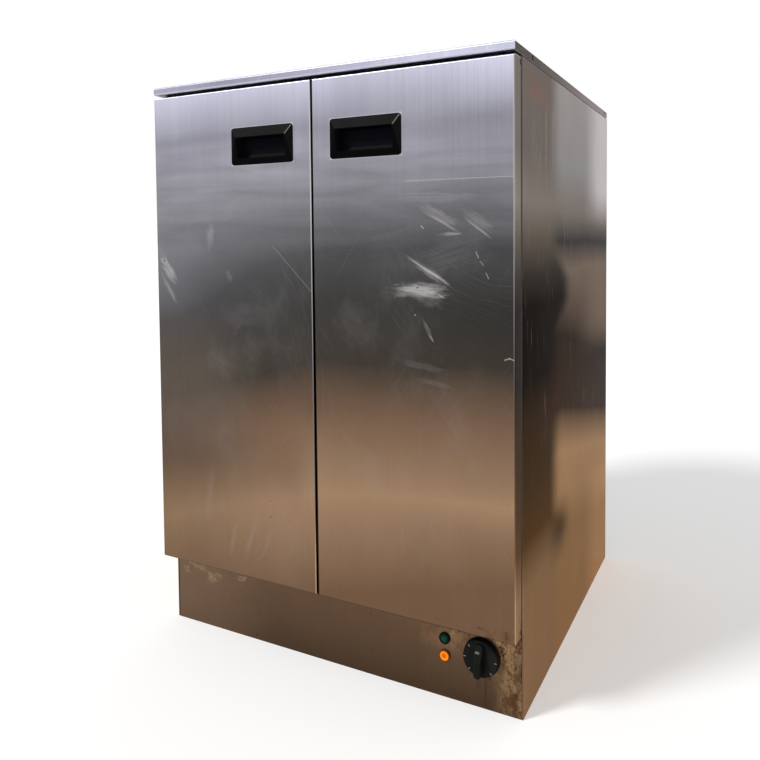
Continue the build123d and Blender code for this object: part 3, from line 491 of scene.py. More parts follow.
# Single scratches and spots, light and dark: (start, end, width, softness, strength).
light_marks = [
    ((0.154, 0.7292), (0.312, 0.7289), 0.0006, 0.0005, 0.45),
    ((0.178, 0.668), (0.182, 0.6644), 0.0012, 0.0007, 0.5),
    ((0.168, 0.546), (0.1683, 0.5463), 0.0014, 0.001, 0.5),
    ((0.2585, 0.6325), (0.262, 0.625), 0.0009, 0.0007, 0.45),
    ((0.2645, 0.62), (0.269, 0.615), 0.0007, 0.0006, 0.35),
    ((0.2725, 0.605), (0.276, 0.598), 0.0009, 0.0007, 0.4),
    ((0.298, 0.493), (0.3045, 0.4955), 0.0012, 0.0008, 0.5),
    ((0.3045, 0.4955), (0.312, 0.493), 0.0012, 0.0008, 0.5),
    ((-0.0737, 0.6417), (-0.0038, 0.574), 0.0007, 0.0006, 0.22),
]
dark_marks = [
    ((0.1722, 0.5837), (0.1723, 0.5838), 0.0024, 0.0008, 0.9),
    ((0.2242, 0.588), (0.2243, 0.5881), 0.0018, 0.001, 0.6),
    ((-0.2966, 0.617), (-0.2965, 0.6172), 0.0024, 0.0008, 0.9),
    ((-0.086, 0.248), (-0.0858, 0.2484), 0.0018, 0.0008, 0.6),
    ((-0.0845, 0.223), (-0.0843, 0.2234), 0.002, 0.0008, 0.6),
    ((0.259, 0.131), (0.265, 0.1312), 0.0026, 0.0014, 0.35),
    ((0.299, 0.1335), (0.2995, 0.125), 0.0024, 0.0012, 0.5),
]
# Loose groups of hairlines: (degrees from upright, threshold of the noise, strength, offset).
hairlines = [
    (38, 0.6, 0.05, 2.0),
    (-32, 0.62, 0.05, 6.0),
    (75, 0.64, 0.04, 9.0),
]
lid_hairlines = [
    (20, 0.62, 0.2, 4.0),
    (-50, 0.62, 0.2, 8.0),
]
# Dark rust spots on the plinth: (x, z, diameter).
rust_spots = [
    (0.2816, 0.0869, 0.0032),
    (0.2838, 0.0818, 0.0036),
    (0.2874, 0.0855, 0.0026),
    (0.2795, 0.093, 0.003),
    (0.2952, 0.0528, 0.0024),
    (0.2905, 0.068, 0.0018),
    (0.2184, 0.1005, 0.0022),
    (0.224, 0.103, 0.003),
    (0.233, 0.0985, 0.002),
    (0.2015, 0.104, 0.0016),
]
# The colour of painted shade in dark gaps and seams.
painted_gap_shade = (8, 7, 6)


def door_reflection_height(paint):
    """The height that sets the doors' painted reflection: its bands dip to the left, and low down rise to
    the right.
    """
    wave = paint.swing(paint.noise((4, 4, 2), offset=7.7), 0.012)
    leftward = paint.at_least(paint.times(paint.x, -1.0), 0.0)
    slope = paint.scaled(paint.step(paint.z, 0.5, 0.42), -0.12, 0.4)
    left_lift = paint.times(leftward, paint.step(paint.z, 0.75, 0.54), slope)
    right_drop = paint.times(paint.at_least(paint.x, 0.0), paint.step(paint.z, 0.33, 0.24), -0.25)
    return paint.add(paint.z, left_lift, right_drop, wave)


def door_reflection_tone(paint):
    """How much lighter or darker than its height's painted reflection each part of the doors is; this is
    painted reflection as well.
    """
    x, z = paint.x, paint.z
    bands = paint.noise((1, 1, 75), offset=3.3)
    clouds = paint.noise((4.5, 4.5, 26), detail=4, offset=6.2, distortion=0.8)
    parts = (
        (paint.step(x, -0.03, -0.26), paint.step(z, 0.38, 0.2), -0.22),
        (paint.step(x, -0.17, -0.27), paint.step(z, 0.76, 0.86), 0.1),
        (paint.step(x, 0.06, -0.03), paint.step(z, 0.58, 0.66), 0.2),
        (paint.step(x, 0.01, -0.04), paint.band(z, 0.26, 0.34, 0.05), -0.2),
        (paint.step(x, 0.2, 0.31), paint.step(z, 0.78, 0.86), 0.25),
        (paint.band(x, -0.02, 0.02, 0.04), paint.band(z, 0.38, 0.43, 0.03), -0.18),
        (paint.add(clouds, -0.5), paint.band(z, 0.62, 0.82, 0.04), 0.8),
        (paint.step(x, 0.1, 0.3), paint.band(z, 0.5, 0.6, 0.05), -0.3),
        (paint.add(bands, -0.5), paint.band(z, 0.64, 0.77, 0.03), 0.35),
    )
    return paint.add(1.0, *(paint.times(*part) for part in parts))


def door_scuffs(paint):
    """The masks of everything that wiping and scratching has left on the doors."""
    for start, end, width, strength in smears:
        yield paint.times(paint.smear(start, end, width), strength)
    for swirl in swirls:
        yield paint.swirl(*swirl)
    for hairline in hairlines:
        yield paint.scratches(*hairline)
    haze = paint.patches((6, 6, 4), 0.52, 0.8, detail=7, roughness=0.7, offset=2.4)
    yield paint.times(haze, 0.09)


def door_marks(paint):
    """Scratches, smears and spots on the doors' fronts."""
    paint.coat((176, 172, 172), paint.covered(door_scuffs(paint)))
    for marks, shade in ((light_marks, (196, 192, 190)), (dark_marks, (30, 25, 22))):
        masks = (paint.times(paint.stroke(*mark), strength) for *mark, strength in marks)
        paint.coat(shade, paint.covered(masks))


def door_steel():
    paint = Paint("door_steel", 1.0, 0.34, edge=0.5)
    x, y, z = paint.x, paint.y, paint.z
    paint.colour = paint.ramp(door_reflection_height(paint), door_reflection_stops)
    # The painted reflection's dark band fades towards the left side.
    far_left = paint.area((x, -0.06, -0.24), (z, 0.28, 0.5, 0.08))
    paint.coat((108, 96, 86), far_left, 0.55)
    paint.lighten(door_reflection_tone(paint))
    door_marks(paint)
    for low, high in pull_boxes.values():
        # A painted highlight shows round each pull.
        outside = [
            paint.add(paint.size(paint.add(place, -(near + far) / 2)), -(far - near) / 2)
            for place, near, far in ((x, low.x, high.x), (z, low.z, high.z))
        ]
        rim = paint.step(paint.at_least(*outside), 0.0018, 0.0006)
        paint.coat((196, 196, 206), rim, 0.4)
    # The doors' sides take the painted reflections of a side's front part.
    turned = paint.step(paint.size(paint.facing_x), 0.15, 0.4)
    paint.colour = paint.blend(turned, paint.colour, paint.ramp(z, side_front_reflection_stops))
    on_front = paint.step(y, door_front + 0.0009, door_front + 0.0002)
    # Painted highlights: the folds catch the light as bright lines.
    fold_soft = 0.0005
    upper = paint.step(z, 0.35, 0.75)
    left_edge = -door_edge
    free_fold = paint.times(paint.band(x, left_edge - 0.0016, left_edge + 0.0003, fold_soft), on_front)
    paint.coat((214, 212, 218), free_fold, paint.scaled(upper, 0.7, 0.2))
    top_fold = paint.step(z, door_top - 0.0016, door_top - 0.0006)
    paint.coat((196, 194, 204), top_fold, 0.55)
    outer_fold = paint.band(x, half_width - 0.0026, half_width - 0.001, fold_soft)
    paint.coat((186, 180, 182), paint.times(outer_fold, on_front), upper, 0.55)
    # Painted shade in the mouth of the gap between the doors, and on the right door's fold beside it.
    in_gap = paint.times(
        paint.step(paint.size(x), door_edge + 0.0012, door_edge + 0.0004),
        paint.band(y, door_front + 0.0015, door_front + 0.0075, 0.001),
    )
    paint.coat(painted_gap_shade, in_gap, 0.97)
    wider = paint.times(paint.step(z, 0.85, 0.15), -0.0014)
    from_edge = paint.add(x, -door_edge, wider)
    by_edge = paint.area((from_edge, 0.0016, 0.0008), (x, 0.0, door_edge))
    paint.coat(painted_gap_shade, by_edge, on_front, 0.92)
    # Stains at the right door's lower corner; along its lower fold a dark line that is partly painted
    # shadow across the whole width and partly stain at the right; and rust round the corner.
    stain = paint.patches((120, 120, 70), 0.42, 0.6, detail=5, roughness=0.7, offset=5.8)
    corner = paint.area((x, 0.235, 0.3), (z, 0.142, 0.12))
    paint.coat((74, 50, 34), corner, stain, on_front, 0.5)
    stained = paint.times(stain, paint.step(x, 0.0, 0.2))
    low_fold = paint.step(z, door_low.z + 0.002, door_low.z + 0.0008)
    paint.coat((34, 20, 12), low_fold, paint.scaled(stained, 0.5, 0.35))
    rust = paint.patches((160, 160, 120), 0.45, 0.6, detail=4, offset=7.1)
    zone = paint.times(rust, paint.step(z, 0.158, 0.128), paint.step(y, -0.285, -0.276))
    paint.coat((50, 26, 14), zone, turned, 0.85)
    return brushed(paint)


def case_steel():
    paint = Paint("case_steel", 1.0, 0.34, edge=0.4)
    x, y, z = paint.x, paint.y, paint.z
    wave = paint.swing(paint.noise((3, 5, 2), offset=3.1), 0.008)
    height = paint.add(z, wave)
    # A side's front and rear have painted reflections of their own, and their border shifts with height.
    front = paint.ramp(height, side_front_reflection_stops)
    rearward = paint.at_least(paint.add(y, 0.08), 0.0)
    slope = paint.times(rearward, paint.step(z, 0.6, 0.45), 0.22)
    rear = paint.ramp(paint.add(height, slope), side_rear_reflection_stops)
    shift = paint.add(paint.band(z, 0.53, 0.61, 0.03), paint.band(z, 0.16, 0.21, 0.03))
    depth = paint.add(y, paint.times(shift, -0.07))
    paint.colour = paint.blend(paint.step(depth, -0.145, -0.075), front, rear)
    # Painted reflections: darker and paler places, a near-white patch and a warm glow.
    dip = paint.area((y, -0.12, -0.05, 0.05), (z, 0.165, 0.225, 0.035))
    paint.coat((62, 46, 32), dip, 0.7)
    low_rear = paint.area((y, 0.05, 0.2), (z, 0.26, 0.14))
    paint.lighten(paint.scaled(low_rear, 0.4, 1.0))
    lighter = paint.area((y, 0.06, 0.22), (z, 0.66, 0.75))
    paint.coat((244, 236, 236), lighter, 0.9)
    glow = paint.area((y, 0.0, 0.2), (z, 0.47, 0.6, 0.04))
    paint.coat((150, 128, 110), glow, 0.6)
    # Upright streaks and drips.
    streak = paint.patches((240, 240, 3.5), 0.62, 0.75, detail=4, offset=9)
    paint.coat((196, 190, 184), streak, 0.14)
    drip = paint.patches((330, 210, 12), 0.58, 0.68, detail=5, roughness=0.7, offset=12.5)
    drip = paint.times(drip, paint.patches((16, 16, 9), 0.42, 0.6, offset=2.2))
    paint.coat((206, 200, 194), drip, 0.22)
    # A rust-coloured splash near the top of the side, its runs, and small dark flecks.
    splash = paint.patches((60, 60, 130), 0.44, 0.62, detail=5, roughness=0.65, offset=4.4)
    zone = paint.area((y, -0.25, -0.15, 0.03), (z, 0.838, 0.868, 0.008), (x, 0.0, 0.1))
    paint.coat((176, 112, 88), splash, zone, 0.55)
    runs = paint.patches((150, 110, 9), 0.5, 0.64, detail=4, roughness=0.6, offset=6.6)
    zone = paint.area((y, -0.215, -0.11, 0.03), (z, 0.75, 0.84, 0.02))
    paint.coat((190, 184, 178), runs, zone, 0.3)
    fleck = paint.patches((170, 150, 60), 0.7, 0.76, detail=3, roughness=0.6, offset=1.7)
    paint.coat((36, 26, 20), fleck, 0.6)
    # The back is plainer than the sides.
    behind = paint.step(paint.facing_y, 0.4, 0.8)
    plain = paint.ramp(z, [(0.0, (150, 136, 122)), (0.888, (176, 173, 172))])
    paint.colour = paint.blend(behind, paint.colour, plain)
    # Painted shade on the side's front fold, beside the gap to the doors.
    front_fold = paint.step(y, plinth_low.y + 0.0022, plinth_low.y + 0.0008)
    paint.lighten(paint.scaled(front_fold, -0.5, 1.0))
    # Painted shade: a dark line along the seam under the lid.
    seam = paint.step(z, lid_bottom - 0.0018, lid_bottom - 0.001)
    paint.coat(painted_gap_shade, seam, 0.95)
    return brushed(paint)


def lid_steel():
    paint = Paint("lid_steel", 1.0, 0.32, edge=0.5)
    # Painted reflections: one ramp along the front skirt and one along the side skirts.
    front = paint.ramp(
        paint.x,
        [
            (-0.3125, (160, 160, 176)),
            (-0.17, (136, 136, 152)),
            (0.0, (150, 149, 166)),
            (0.22, (176, 176, 194)),
            (0.3125, (172, 174, 190)),
        ],
    )
    side = paint.ramp(
        paint.y,
        [
            (-0.25, (98, 90, 86)),
            (-0.1, (124, 114, 108)),
            (0.04, (152, 140, 136)),
            (0.265, (172, 166, 166)),
        ],
    )
    turned = paint.step(paint.size(paint.facing_x), 0.45, 0.75)
    paint.colour = paint.blend(turned, front, side)
    # Painted shade where the lid faces upward; the worktop takes a plain tone of its own.
    upturned = paint.step(paint.facing_z, 0.25, 0.5)
    paint.colour = paint.blend(upturned, paint.colour, paint.vector_math("SCALE", paint.colour, 0.8))
    worktop = paint.step(paint.facing_z, 0.93, 0.99)
    paint.coat((176, 176, 184), worktop)
    # A painted highlight along the front skirt's lower fold.
    low_edge = paint.step(paint.z, lid_bottom + 0.0034, lid_bottom + 0.0024)
    on_front = paint.step(turned, 0.6, 0.2)
    paint.coat((188, 187, 200), low_edge, on_front, 0.75)
    for hairline in lid_hairlines:
        paint.coat((200, 200, 204), paint.scratches(*hairline))
    return brushed(paint, across=300.0, along=4.0)


def plinth_steel():
    paint = Paint("plinth_steel", 1.0, 0.36)
    x, z = paint.x, paint.z
    wave = paint.swing(paint.noise((9, 9, 14), offset=5.5), 0.01)
    paint.colour = paint.ramp(paint.add(z, wave), plinth_stops)
    # The left end is paler.
    paint.coat((118, 94, 75), paint.step(x, -0.08, -0.26), 0.6)
    # Warmer, mottled metal round the controls and down the right-hand end.
    mottle = paint.patches((48, 48, 30), 0.35, 0.65, detail=6, roughness=0.65, offset=8.9)
    controls = paint.area((x, 0.12, 0.22), (z, 0.055, 0.095))
    right_end = paint.step(x, 0.262, 0.298)
    warm = paint.at_most(paint.add(paint.times(controls, 0.7), right_end), 1.0)
    warm = paint.times(warm, paint.scaled(mottle, 0.75, 0.2))
    paint.coat((150, 120, 88), warm)
    # A pale splash and two wiped patches near the left end.
    splash = paint.patches((36, 36, 60), 0.55, 0.66, detail=6, roughness=0.75, offset=6.1)
    zone = paint.area((x, -0.3, -0.16, 0.03), (z, 0.078, 0.112, 0.012))
    paint.coat((160, 132, 102), splash, zone, 0.8)
    pale = paint.patches(90, 0.4, 0.6, detail=5, roughness=0.7, offset=3.4)
    wiped = paint.add(
        paint.times(paint.smear((-0.302, 0.106), (-0.235, 0.09), 0.022, 0.003), 0.5),
        paint.times(paint.smear((-0.262, 0.104), (-0.2, 0.108), 0.016, 0.003), 0.35),
    )
    paint.coat((168, 144, 112), wiped, pale)
    # Dirt and blotches round the controls and at the right-hand end, and flecks everywhere.
    dirt = paint.patches((110, 110, 70), 0.46, 0.62, detail=7, roughness=0.75, offset=8.3)
    zone = paint.add(
        paint.times(right_end, 0.8), paint.times(controls, 0.5),
        paint.times(paint.area((x, 0.1, 0.22), (z, 0.05, 0.01)), 0.3),
    )
    paint.coat((70, 48, 30), dirt, paint.at_most(zone, 1.0))
    blotch = paint.patches((52, 52, 30), 0.47, 0.6, detail=6, roughness=0.7, offset=15.1)
    zone = paint.add(paint.times(right_end, 0.7), paint.times(controls, 0.35))
    paint.coat((78, 48, 30), blotch, paint.at_most(zone, 0.8))
    fleck = paint.patches((130, 130, 110), 0.7, 0.75, detail=3, roughness=0.6, offset=11.7)
    paint.coat((40, 26, 18), fleck, 0.6)
    # A dark line of painted shadow and crumbs under the doors, and rust spots and runs by the dial.
    crumbs = paint.patches((300, 300, 260), 0.52, 0.62, detail=4, roughness=0.75, offset=2.9)
    crumb_zone = paint.area((z, 0.092, 0.106), (x, 0.12, 0.2))
    paint.coat((52, 28, 16), crumbs, crumb_zone, 0.9)
    top_line = paint.step(z, plinth_high.z - 0.0022, plinth_high.z - 0.0008)
    paint.coat((44, 28, 18), top_line, 0.6)
    edge_noise = paint.swing(paint.noise(700), 0.0012)
    for spot_x, spot_z, diameter in rust_spots:
        distance = paint.add(paint.distance(paint.front, (spot_x, 0.0, spot_z)), edge_noise)
        spot = paint.step(distance, diameter / 2 + 0.0005, diameter / 2 - 0.0006)
        paint.coat((44, 22, 12), spot, 0.9)
    run = paint.add(
        paint.times(paint.stroke((0.2585, 0.047), (0.258, 0.006), 0.003, 0.002), 0.4),
        paint.times(paint.stroke((0.248, 0.046), (0.247, 0.028), 0.005, 0.003), 0.3),
        paint.times(paint.stroke((0.264, 0.05), (0.2642, 0.044), 0.004, 0.0015), 0.6),
    )
    paint.coat((60, 34, 22), run)
    return brushed(paint, across=360.0, along=5.0, amount=0.08)


def plain_steel(name, shade, roughness):
    """Bare metal with a grain along Z, for the parts that the photograph hardly shows."""
    paint = Paint(name, 1.0, roughness)
    mottle = paint.noise((9, 9, 6), detail=5, roughness=0.6, offset=3.7)
    paint.colour = linear(*shade)
    paint.coat(darker(shade, 0.86), mottle)
    grain = paint.noise((260, 260, 5), detail=3)
    paint.roughen(mottle, roughness - 0.08, 0.16)
    paint.bump(grain, **grain_bump)
    paint.lighten(paint.centred(grain, 0.06))
    return paint.done()


def moulding(name, shade, roughness, specular):
    """The paint of a moulded plastic, with a slow change of tone."""
    paint = Paint(name, 0.0, roughness, specular)
    tone = paint.noise(30, detail=4, offset=1.9)
    paint.colour = linear(*shade)
    paint.coat(darker(shade, 0.82), tone)
    paint.roughen(tone, roughness - 0.08, 0.16)
    paint.bump(paint.noise(2600), strength=0.15, distance=0.0002)
    return paint


def plain_plastic(*look):
    return moulding(*look).done()


def pull_plastic():
    """Black pulls: painted reflection where they face right, dust and painted light where they face up, a
    painted highlight on the hood's hip, and a painted blue-black reflection deep in the pocket.
    """
    paint = moulding("handle_plastic", (4, 4, 6), 0.5, 0.02)
    paint.coat((17, 17, 18), paint.step(paint.facing_x, 0.2, 0.4))
    paint.coat((18, 18, 18), paint.step(paint.facing_z, 0.12, 0.3))
    deep = paint.step(paint.y, door_front + 0.008, door_front + 0.011)
    paint.coat((13, 14, 20), deep, paint.step(paint.facing_z, 0.3, 0.05))
    specks = paint.patches(500, 0.68, 0.76, detail=3, offset=3.1)
    paint.coat((60, 58, 54), specks, 0.25)
    for low, high in pull_boxes.values():
        # A painted highlight on the hood's hip, from the pull's upper corner down to the end of its lip.
        corner = (high.x - 0.0022, high.z - 0.003)
        lip_end = (high.x - lip_inset, high.z - lip_drop)
        ridge = paint.stroke(corner, lip_end, 0.0011, 0.0006)
        paint.coat((150, 146, 140), ridge, 0.75)
    return paint.done()


def knob_plastic():
    """Black dial: white ticks round its face and a painted sheen that greys its right side."""
    tick_turns = (0, 135, 180, 225, 315)  # degrees from the right, turning up
    tick_start, tick_end, tick_width = 0.0213, 0.0241, 0.0007
    paint = moulding("knob_plastic", (20, 20, 19), 0.5, 0.05)
    right_sheen = paint.area((paint.x, knob_x + 0.005, knob_x + 0.012), (paint.z, 0.092, 0.08))
    paint.coat((30, 30, 29), right_sheen, 0.8)
    bloom = paint.patches(60, 0.56, 0.76, detail=5, roughness=0.7, offset=5.2)
    paint.coat((44, 40, 35), bloom, 0.3)
    on_face = paint.step(paint.size(paint.add(paint.y, -knob_face_y)), 0.0008, 0.0004)
    for turn in map(math.radians, tick_turns):
        outward = Vector((math.cos(turn), math.sin(turn)))
        offsets = (outward * tick_start, outward * tick_end)
        ends = [(knob_x + offset.x, knob_z + offset.y) for offset in offsets]
        tick = paint.stroke(*ends, tick_width, 0.0002)
        paint.coat((170, 170, 165), tick, on_face, 0.85)
    return paint.done()


def lamp_plastic():
    """Lamp bodies: black, but the one round the amber cap takes a painted glow from the amber lamp."""
    paint = moulding("lamp_plastic", (12, 12, 12), 0.45, 0.05)
    amber_glow_spill = paint.step(paint.z, lamp_middle_z + 0.001, lamp_middle_z - 0.001)
    paint.coat((96, 54, 22), amber_glow_spill)
    return paint.done()


def wool():
    """Mineral wool, with painted shade near the case's sides, where it shows in narrow gaps."""
    paint = Paint("mineral_wool", 0.0, 0.95, 0.1)
    strands = paint.noise((90, 90, 420), detail=6, roughness=0.7, distortion=1.2)
    paint.colour = paint.ramp(strands, [(0.2, (150, 140, 92)), (0.8, (206, 198, 150))])
    near_side = paint.step(paint.size(paint.x), half_width - 0.006, half_width - 0.004)
    paint.bump(strands, strength=0.7, distance=0.002)
    paint.coat((24, 20, 16), near_side)
    return paint.done()


def lens(colour_name, stops, glow, strength):
    """A coloured cap: its shade by the distance from its middle, lit a little from behind."""
    paint = Paint(colour_name + "_lens", 0.0, 0.3, 0.06)
    distance = paint.distance(paint.front, (lamp_x, 0.0, lamp_z[colour_name]))
    tone = paint.noise(400)
    paint.colour = paint.ramp(paint.times(distance, 1 / lens_radius), stops)
    paint.set("Emission Color", linear(*glow))
    paint.set("Emission Strength", strength)
    paint.lighten(paint.centred(tone, 0.06))
    return paint.done()


# Each lens: shades by the share of its radius, the shade of its glow and the glow's strength.
lens_looks = {
    "green": (
        [(0.0, (0, 70, 54)), (0.5, (0, 58, 44)), (0.75, (0, 14, 12)), (1.0, (0, 5, 5))],
        (0, 60, 46),
        0.05,
    ),
    "amber": (
        [
            (0.0, (205, 84, 6)),
            (0.4, (212, 90, 8)),
            (0.6, (255, 150, 28)),
            (0.82, (255, 138, 12)),
            (1.0, (150, 62, 10)),
        ],
        (255, 120, 10),
        0.12,
    ),
}
# Plain metals: (shade, roughness).
metal_looks = {
    "inner_steel": ((178, 176, 172), 0.36),
    "hinge_steel": ((62, 54, 48), 0.46),
    "plated_steel": ((176, 178, 180), 0.4),
    "shelf_steel": ((172, 171, 170), 0.38),
    "element_sheath": ((104, 92, 84), 0.5),
    "brass_nut": ((196, 160, 92), 0.34),
    "copper_tube": ((178, 112, 78), 0.34),
}
# Plain mouldings: (shade, roughness, specular level).
plastic_looks = {
    "gland_plastic": ((40, 40, 42), 0.5, 0.3),
    "magnet_case": ((226, 224, 216), 0.5, 0.4),
    "thermostat_case": ((70, 62, 54), 0.5, 0.3),
    "terminal_ceramic": ((226, 220, 206), 0.35, 0.5),
}
materials = {
    "door_steel": door_steel(),
    "case_steel": case_steel(),
    "lid_steel": lid_steel(),
    "plinth_steel": plinth_steel(),
    "mineral_wool": wool(),
    "handle_plastic": pull_plastic(),
    "knob_plastic": knob_plastic(),
    "lamp_plastic": lamp_plastic(),
    **{name: plain_steel(name, *look) for name, look in metal_looks.items()},
    **{name: plain_plastic(name, *look) for name, look in plastic_looks.items()},
    **{colour + "_lens": lens(colour, *look) for colour, look in lens_looks.items()},
}
# A near-black steel that stands in for shade.
painted_shade_steel = plain_steel("painted_shade_steel", (16, 14, 13), 0.6)
# Near-black plastic for the discs that stand in for the shade inside the lid's holes.
plug_plastic = plain_plastic("plug_plastic", (8, 8, 8), 0.5, 0.05)
print_white = plain_plastic("print_white", (176, 176, 170), 0.5, 0.1)


def slot_key(slot):
    """The record's name of a CAD node's material slot."""
    return slot.material.name.split(".")[0] if slot.material else ""


def dress_nodes():
    """Gives every CAD node the material of its own slot."""
    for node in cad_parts.values():
        for slot in node.material_slots:
            slot.material = materials.get(slot_key(slot), slot.material)
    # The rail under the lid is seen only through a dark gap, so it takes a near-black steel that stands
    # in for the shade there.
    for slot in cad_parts["top_rail"].material_slots:
        slot.material = painted_shade_steel


# --- Pieces --------------------------------------------------------------------------------------
def made_mesh(name, edit):
    """The mesh of what bmesh holds."""
    mesh = bpy.data.meshes.new(name)
    edit.to_mesh(mesh)
    edit.free()
    return mesh


def add_piece(name, mesh, material, body, replaced=()):
    """Links a piece, rides it on its body and gives it its material."""
    mesh.materials.clear()
    mesh.materials.append(material)
    for polygon in mesh.polygons:
        polygon.use_smooth = True
    piece = add_object(name, mesh)
    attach(piece, body)
    if replaced:
        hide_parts(*replaced)
    return piece


def softened(node, name, body, radius):
    """A moulding's own piece: the CAD node's form with its sharp edges rounded."""
    weld = 1e-6
    flat = math.radians(0.5)
    sharp_from = math.radians(22.0)
    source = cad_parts[node]
    key = slot_key(source.material_slots[0])
    edit = bmesh.new()
    edit.from_mesh(source.data)
    bmesh.ops.remove_doubles(edit, verts=edit.verts, dist=weld)
    bmesh.ops.dissolve_limit(edit, angle_limit=flat, verts=edit.verts, edges=edit.edges)
    sharp = [
        edge
        for edge in edit.edges
        if len(edge.link_faces) == 2 and edge.calc_face_angle() > sharp_from
    ]
    bmesh.ops.bevel(
        edit, geom=sharp, offset=radius, offset_type="OFFSET", segments=3, profile=0.5,
        affect="EDGES", clamp_overlap=True,
    )
    bmesh.ops.remove_doubles(edit, verts=edit.verts, dist=weld)
    bmesh.ops.triangulate(edit, faces=[face for face in edit.faces if len(face.verts) > 4])
    mesh = made_mesh(name, edit)
    for attribute in ("custom_normal", "sharp_face", "sharp_edge"):
        if attribute in mesh.attributes:
            mesh.attributes.remove(mesh.attributes[attribute])
    piece = add_piece(name, mesh, materials[key], body, (node,))
    piece.modifiers.new("normals", "WEIGHTED_NORMAL").weight = 90


def turned_mesh(name, profile, middle, axis, sides=48):
    """A solid of revolution: profile is (distance along the axis, radius), from front to back."""
    edit = bmesh.new()
    along = Vector(axis)
    aside = along.orthogonal().normalized()
    other = along.cross(aside)
    turns = [2 * math.pi * index / sides for index in range(sides)]
    rings = []
    for distance, radius in profile:
        centre = Vector(middle) + along * distance
        if radius == 0.0:
            rings.append([edit.verts.new(centre)])
            continue
        rings.append([
            edit.verts.new(centre + (aside * math.cos(turn) + other * math.sin(turn)) * radius)
            for turn in turns
        ])
    for near, far in zip(rings, rings[1:]):
        for index in range(sides):
            after = (index + 1) % sides
            corners = [
                near[index % len(near)], near[after % len(near)],
                far[after % len(far)], far[index % len(far)],
            ]
            edit.faces.new(list(dict.fromkeys(corners)))
    bmesh.ops.recalc_face_normals(edit, faces=edit.faces)
    return made_mesh(name, edit)


def rounded(points, count=6):
    """A smooth open curve through (distance, radius) points, for a turned piece."""
    line = []
    padded = [points[0], *points, points[-1]]
    for before, start, end, after in zip(padded, padded[1:], padded[2:], padded[3:]):
        for index in range(count):
            t = index / count
            distance, radius = (
                0.5 * (2 * b + (c - a) * t + (2 * a - 5 * b + 4 * c - d) * t**2
                       + (3 * b - a - 3 * c + d) * t**3)
                for a, b, c, d in zip(before, start, end, after)
            )
            line.append((distance, max(radius, 0.0)))
    return [*line, points[-1]]


def make_lamp_caps():
    """Moulded caps: the amber one has a raised ring round a dish, the green one a low dome."""
    # (distance from the lens's back, less than 0 in front, share of its radius), middle to rim.
    shapes = {
        "amber": [
            (-0.0012, 0.0), (-0.0013, 0.36), (-0.0019, 0.56),
            (-0.0024, 0.74), (-0.002, 0.92), (-0.001, 1.0),
        ],
        "green": [(-0.0024, 0.0), (-0.0023, 0.4), (-0.0018, 0.75), (-0.0012, 0.94), (-0.0006, 1.0)],
    }
    foot = -0.0001
    for colour, shape in shapes.items():
        front = rounded([(distance, lens_radius * share) for distance, share in shape])
        profile = [*front, (foot, lens_radius), (foot, 0.0)]
        middle = (lamp_x, lens_boxes[colour][1].y, lamp_z[colour])
        name = colour + "_lamp_cap"
        mesh = turned_mesh(name, profile, middle, (0, 1, 0))
        key = colour + "_lens"
        add_piece(name, mesh, materials[key], "cabinet", (colour + "_lamp_lens",))


def make_dial_word():
    """ON, printed on the sloped upper part of the dial's bar."""
    font = bpy.data.curves.new("dial_word", "FONT")
    font.body = "ON"
    font.size = 0.0039
    font.align_x = "CENTER"
    font.align_y = "CENTER"
    font.extrude = 0.00004
    slope_rise, slope_back = 0.02, 0.0105  # how far the bar's sloped part rises and goes back
    up = Vector((0.0, slope_back, slope_rise)).normalized()
    out = right_axis.cross(up)
    foot_height, word_height = 0.002, 0.0128  # above the dial's middle
    foot = Vector((knob_x - 0.0014, knob_low.y, knob_z + foot_height))
    word = add_object("dial_word", font)
    place = foot + up * ((word_height - foot_height) / up.z) + out * 0.0001
    word.matrix_world = placed(place, right_axis, up, out)
    font.materials.append(print_white)
    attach(word, "knob")


def make_lid_hole_shades():
    """Near-black discs sunk in the holes at the ends of the lid's side skirts, painted shade for the dark
    inside of the holes.
    """
    hole_y = {"front": -0.2232, "rear": 0.236}
    hole_z = 0.8937
    sunk = 0.0004  # how far a disc lies inside the skirt's outer face
    profile = [(0.0, 0.0), (0.0002, 0.0022), (0.0007, 0.0032), (0.0012, 0.0033), (0.0012, 0.0)]
    for side, sign in (("left", -1.0), ("right", 1.0)):
        for end, y in hole_y.items():
            middle = (sign * (half_width - sunk), y, hole_z)
            name = "lid_hole_shade_" + end + "_" + side
            mesh = turned_mesh(name, profile, middle, (-sign, 0, 0), sides=24)
            add_piece(name, mesh, plug_plastic, "cabinet")


# --- Stage ---------------------------------------------------------------------------------------
def seen_directly(tree):
    """1 for what the camera, a reflection or a see-through part shows, and 0 for soft light."""
    path = tree.nodes.new("ShaderNodeLightPath")
    seen = path.outputs["Is Camera Ray"]
    for name in ("Is Glossy Ray", "Is Transmission Ray"):
        node = tree.nodes.new("ShaderNodeMath")
        node.operation = "MAXIMUM"
        tree.links.new(seen, node.inputs[0])
        tree.links.new(path.outputs[name], node.inputs[1])
        seen = node.outputs[0]
    return seen


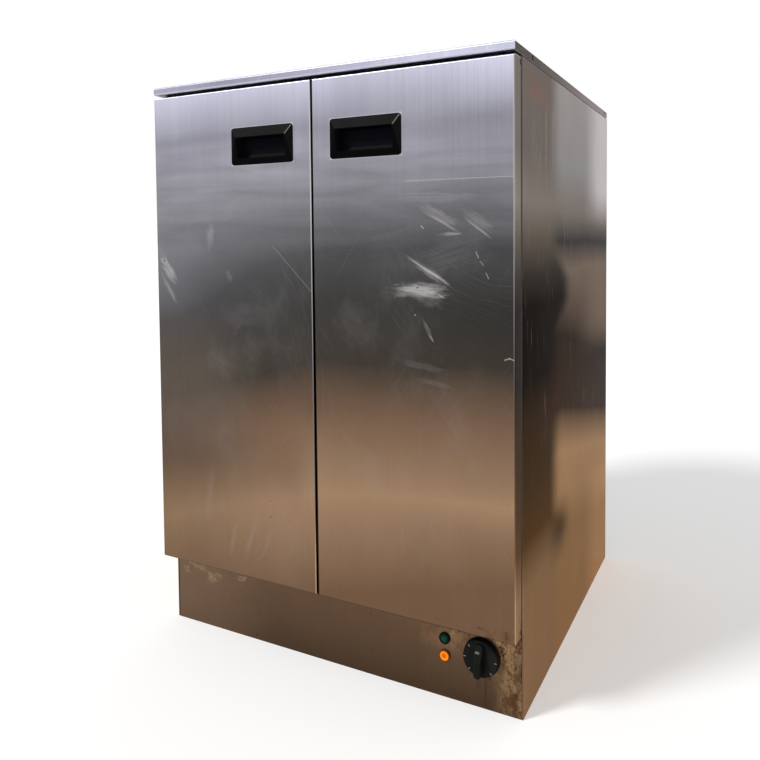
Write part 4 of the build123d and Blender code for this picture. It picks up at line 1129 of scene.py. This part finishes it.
def make_floor():
    """A pale floor, a little brighter where it is seen than where it lights the object."""
    side = 80.0
    grey = (0.8, 0.8, 0.8, 1.0)
    brightening = 0.26
    mesh = bpy.data.meshes.new("floor")
    corners = [(-side, -side, 0), (side, -side, 0), (side, side, 0), (-side, side, 0)]
    mesh.from_pydata(corners, [], [(0, 1, 2, 3)])
    floor = add_object("floor", mesh)
    material = bpy.data.materials.new("floor")
    material.use_nodes = True
    tree = material.node_tree
    shader = tree.nodes["Principled BSDF"]
    shader.inputs["Base Color"].default_value = grey
    shader.inputs["Roughness"].default_value = 0.9
    shader.inputs["Specular IOR Level"].default_value = 0.0
    shader.inputs["Emission Color"].default_value = (1.0, 1.0, 1.0, 1.0)
    lift = tree.nodes.new("ShaderNodeMath")
    lift.operation = "MULTIPLY"
    lift.inputs[1].default_value = brightening
    tree.links.new(seen_directly(tree), lift.inputs[0])
    tree.links.new(lift.outputs[0], shader.inputs["Emission Strength"])
    mesh.materials.append(material)


def make_lights():
    """A white surround, softer as light than as it is seen, and one soft sun from the upper left."""
    lighting_strength, seen_strength = 0.6, 1.0
    world = bpy.context.scene.world or bpy.data.worlds.new("world")
    bpy.context.scene.world = world
    world.use_nodes = True
    tree = world.node_tree
    tree.nodes.clear()
    output = tree.nodes.new("ShaderNodeOutputWorld")
    mix = tree.nodes.new("ShaderNodeMixShader")
    tree.links.new(seen_directly(tree), mix.inputs[0])
    for slot, strength in ((1, lighting_strength), (2, seen_strength)):
        light = tree.nodes.new("ShaderNodeBackground")
        light.inputs["Color"].default_value = (1.0, 1.0, 1.0, 1.0)
        light.inputs["Strength"].default_value = strength
        tree.links.new(light.outputs[0], mix.inputs[slot])
    tree.links.new(mix.outputs[0], output.inputs[0])

    sun = bpy.data.lights.new("key", "SUN")
    sun.energy = 2.18
    sun.angle = math.radians(14)
    travel = Vector((0.8, 0.9, -0.98))
    add_object("key", sun).matrix_world = travel.to_track_quat("-Z", "Y").to_matrix().to_4x4()


pull_rounding = 0.0007
dial_rounding = 0.0006

make_camera()
dress_nodes()
softened("door_handle_left", "pull_left", "left_door", pull_rounding)
softened("door_handle_right", "pull_right", "right_door", pull_rounding)
softened("knob", "dial", "knob", dial_rounding)
make_dial_word()
make_lamp_caps()
make_lid_hole_shades()
make_floor()
make_lights()
bpy.context.scene.view_settings.view_transform = "Standard"
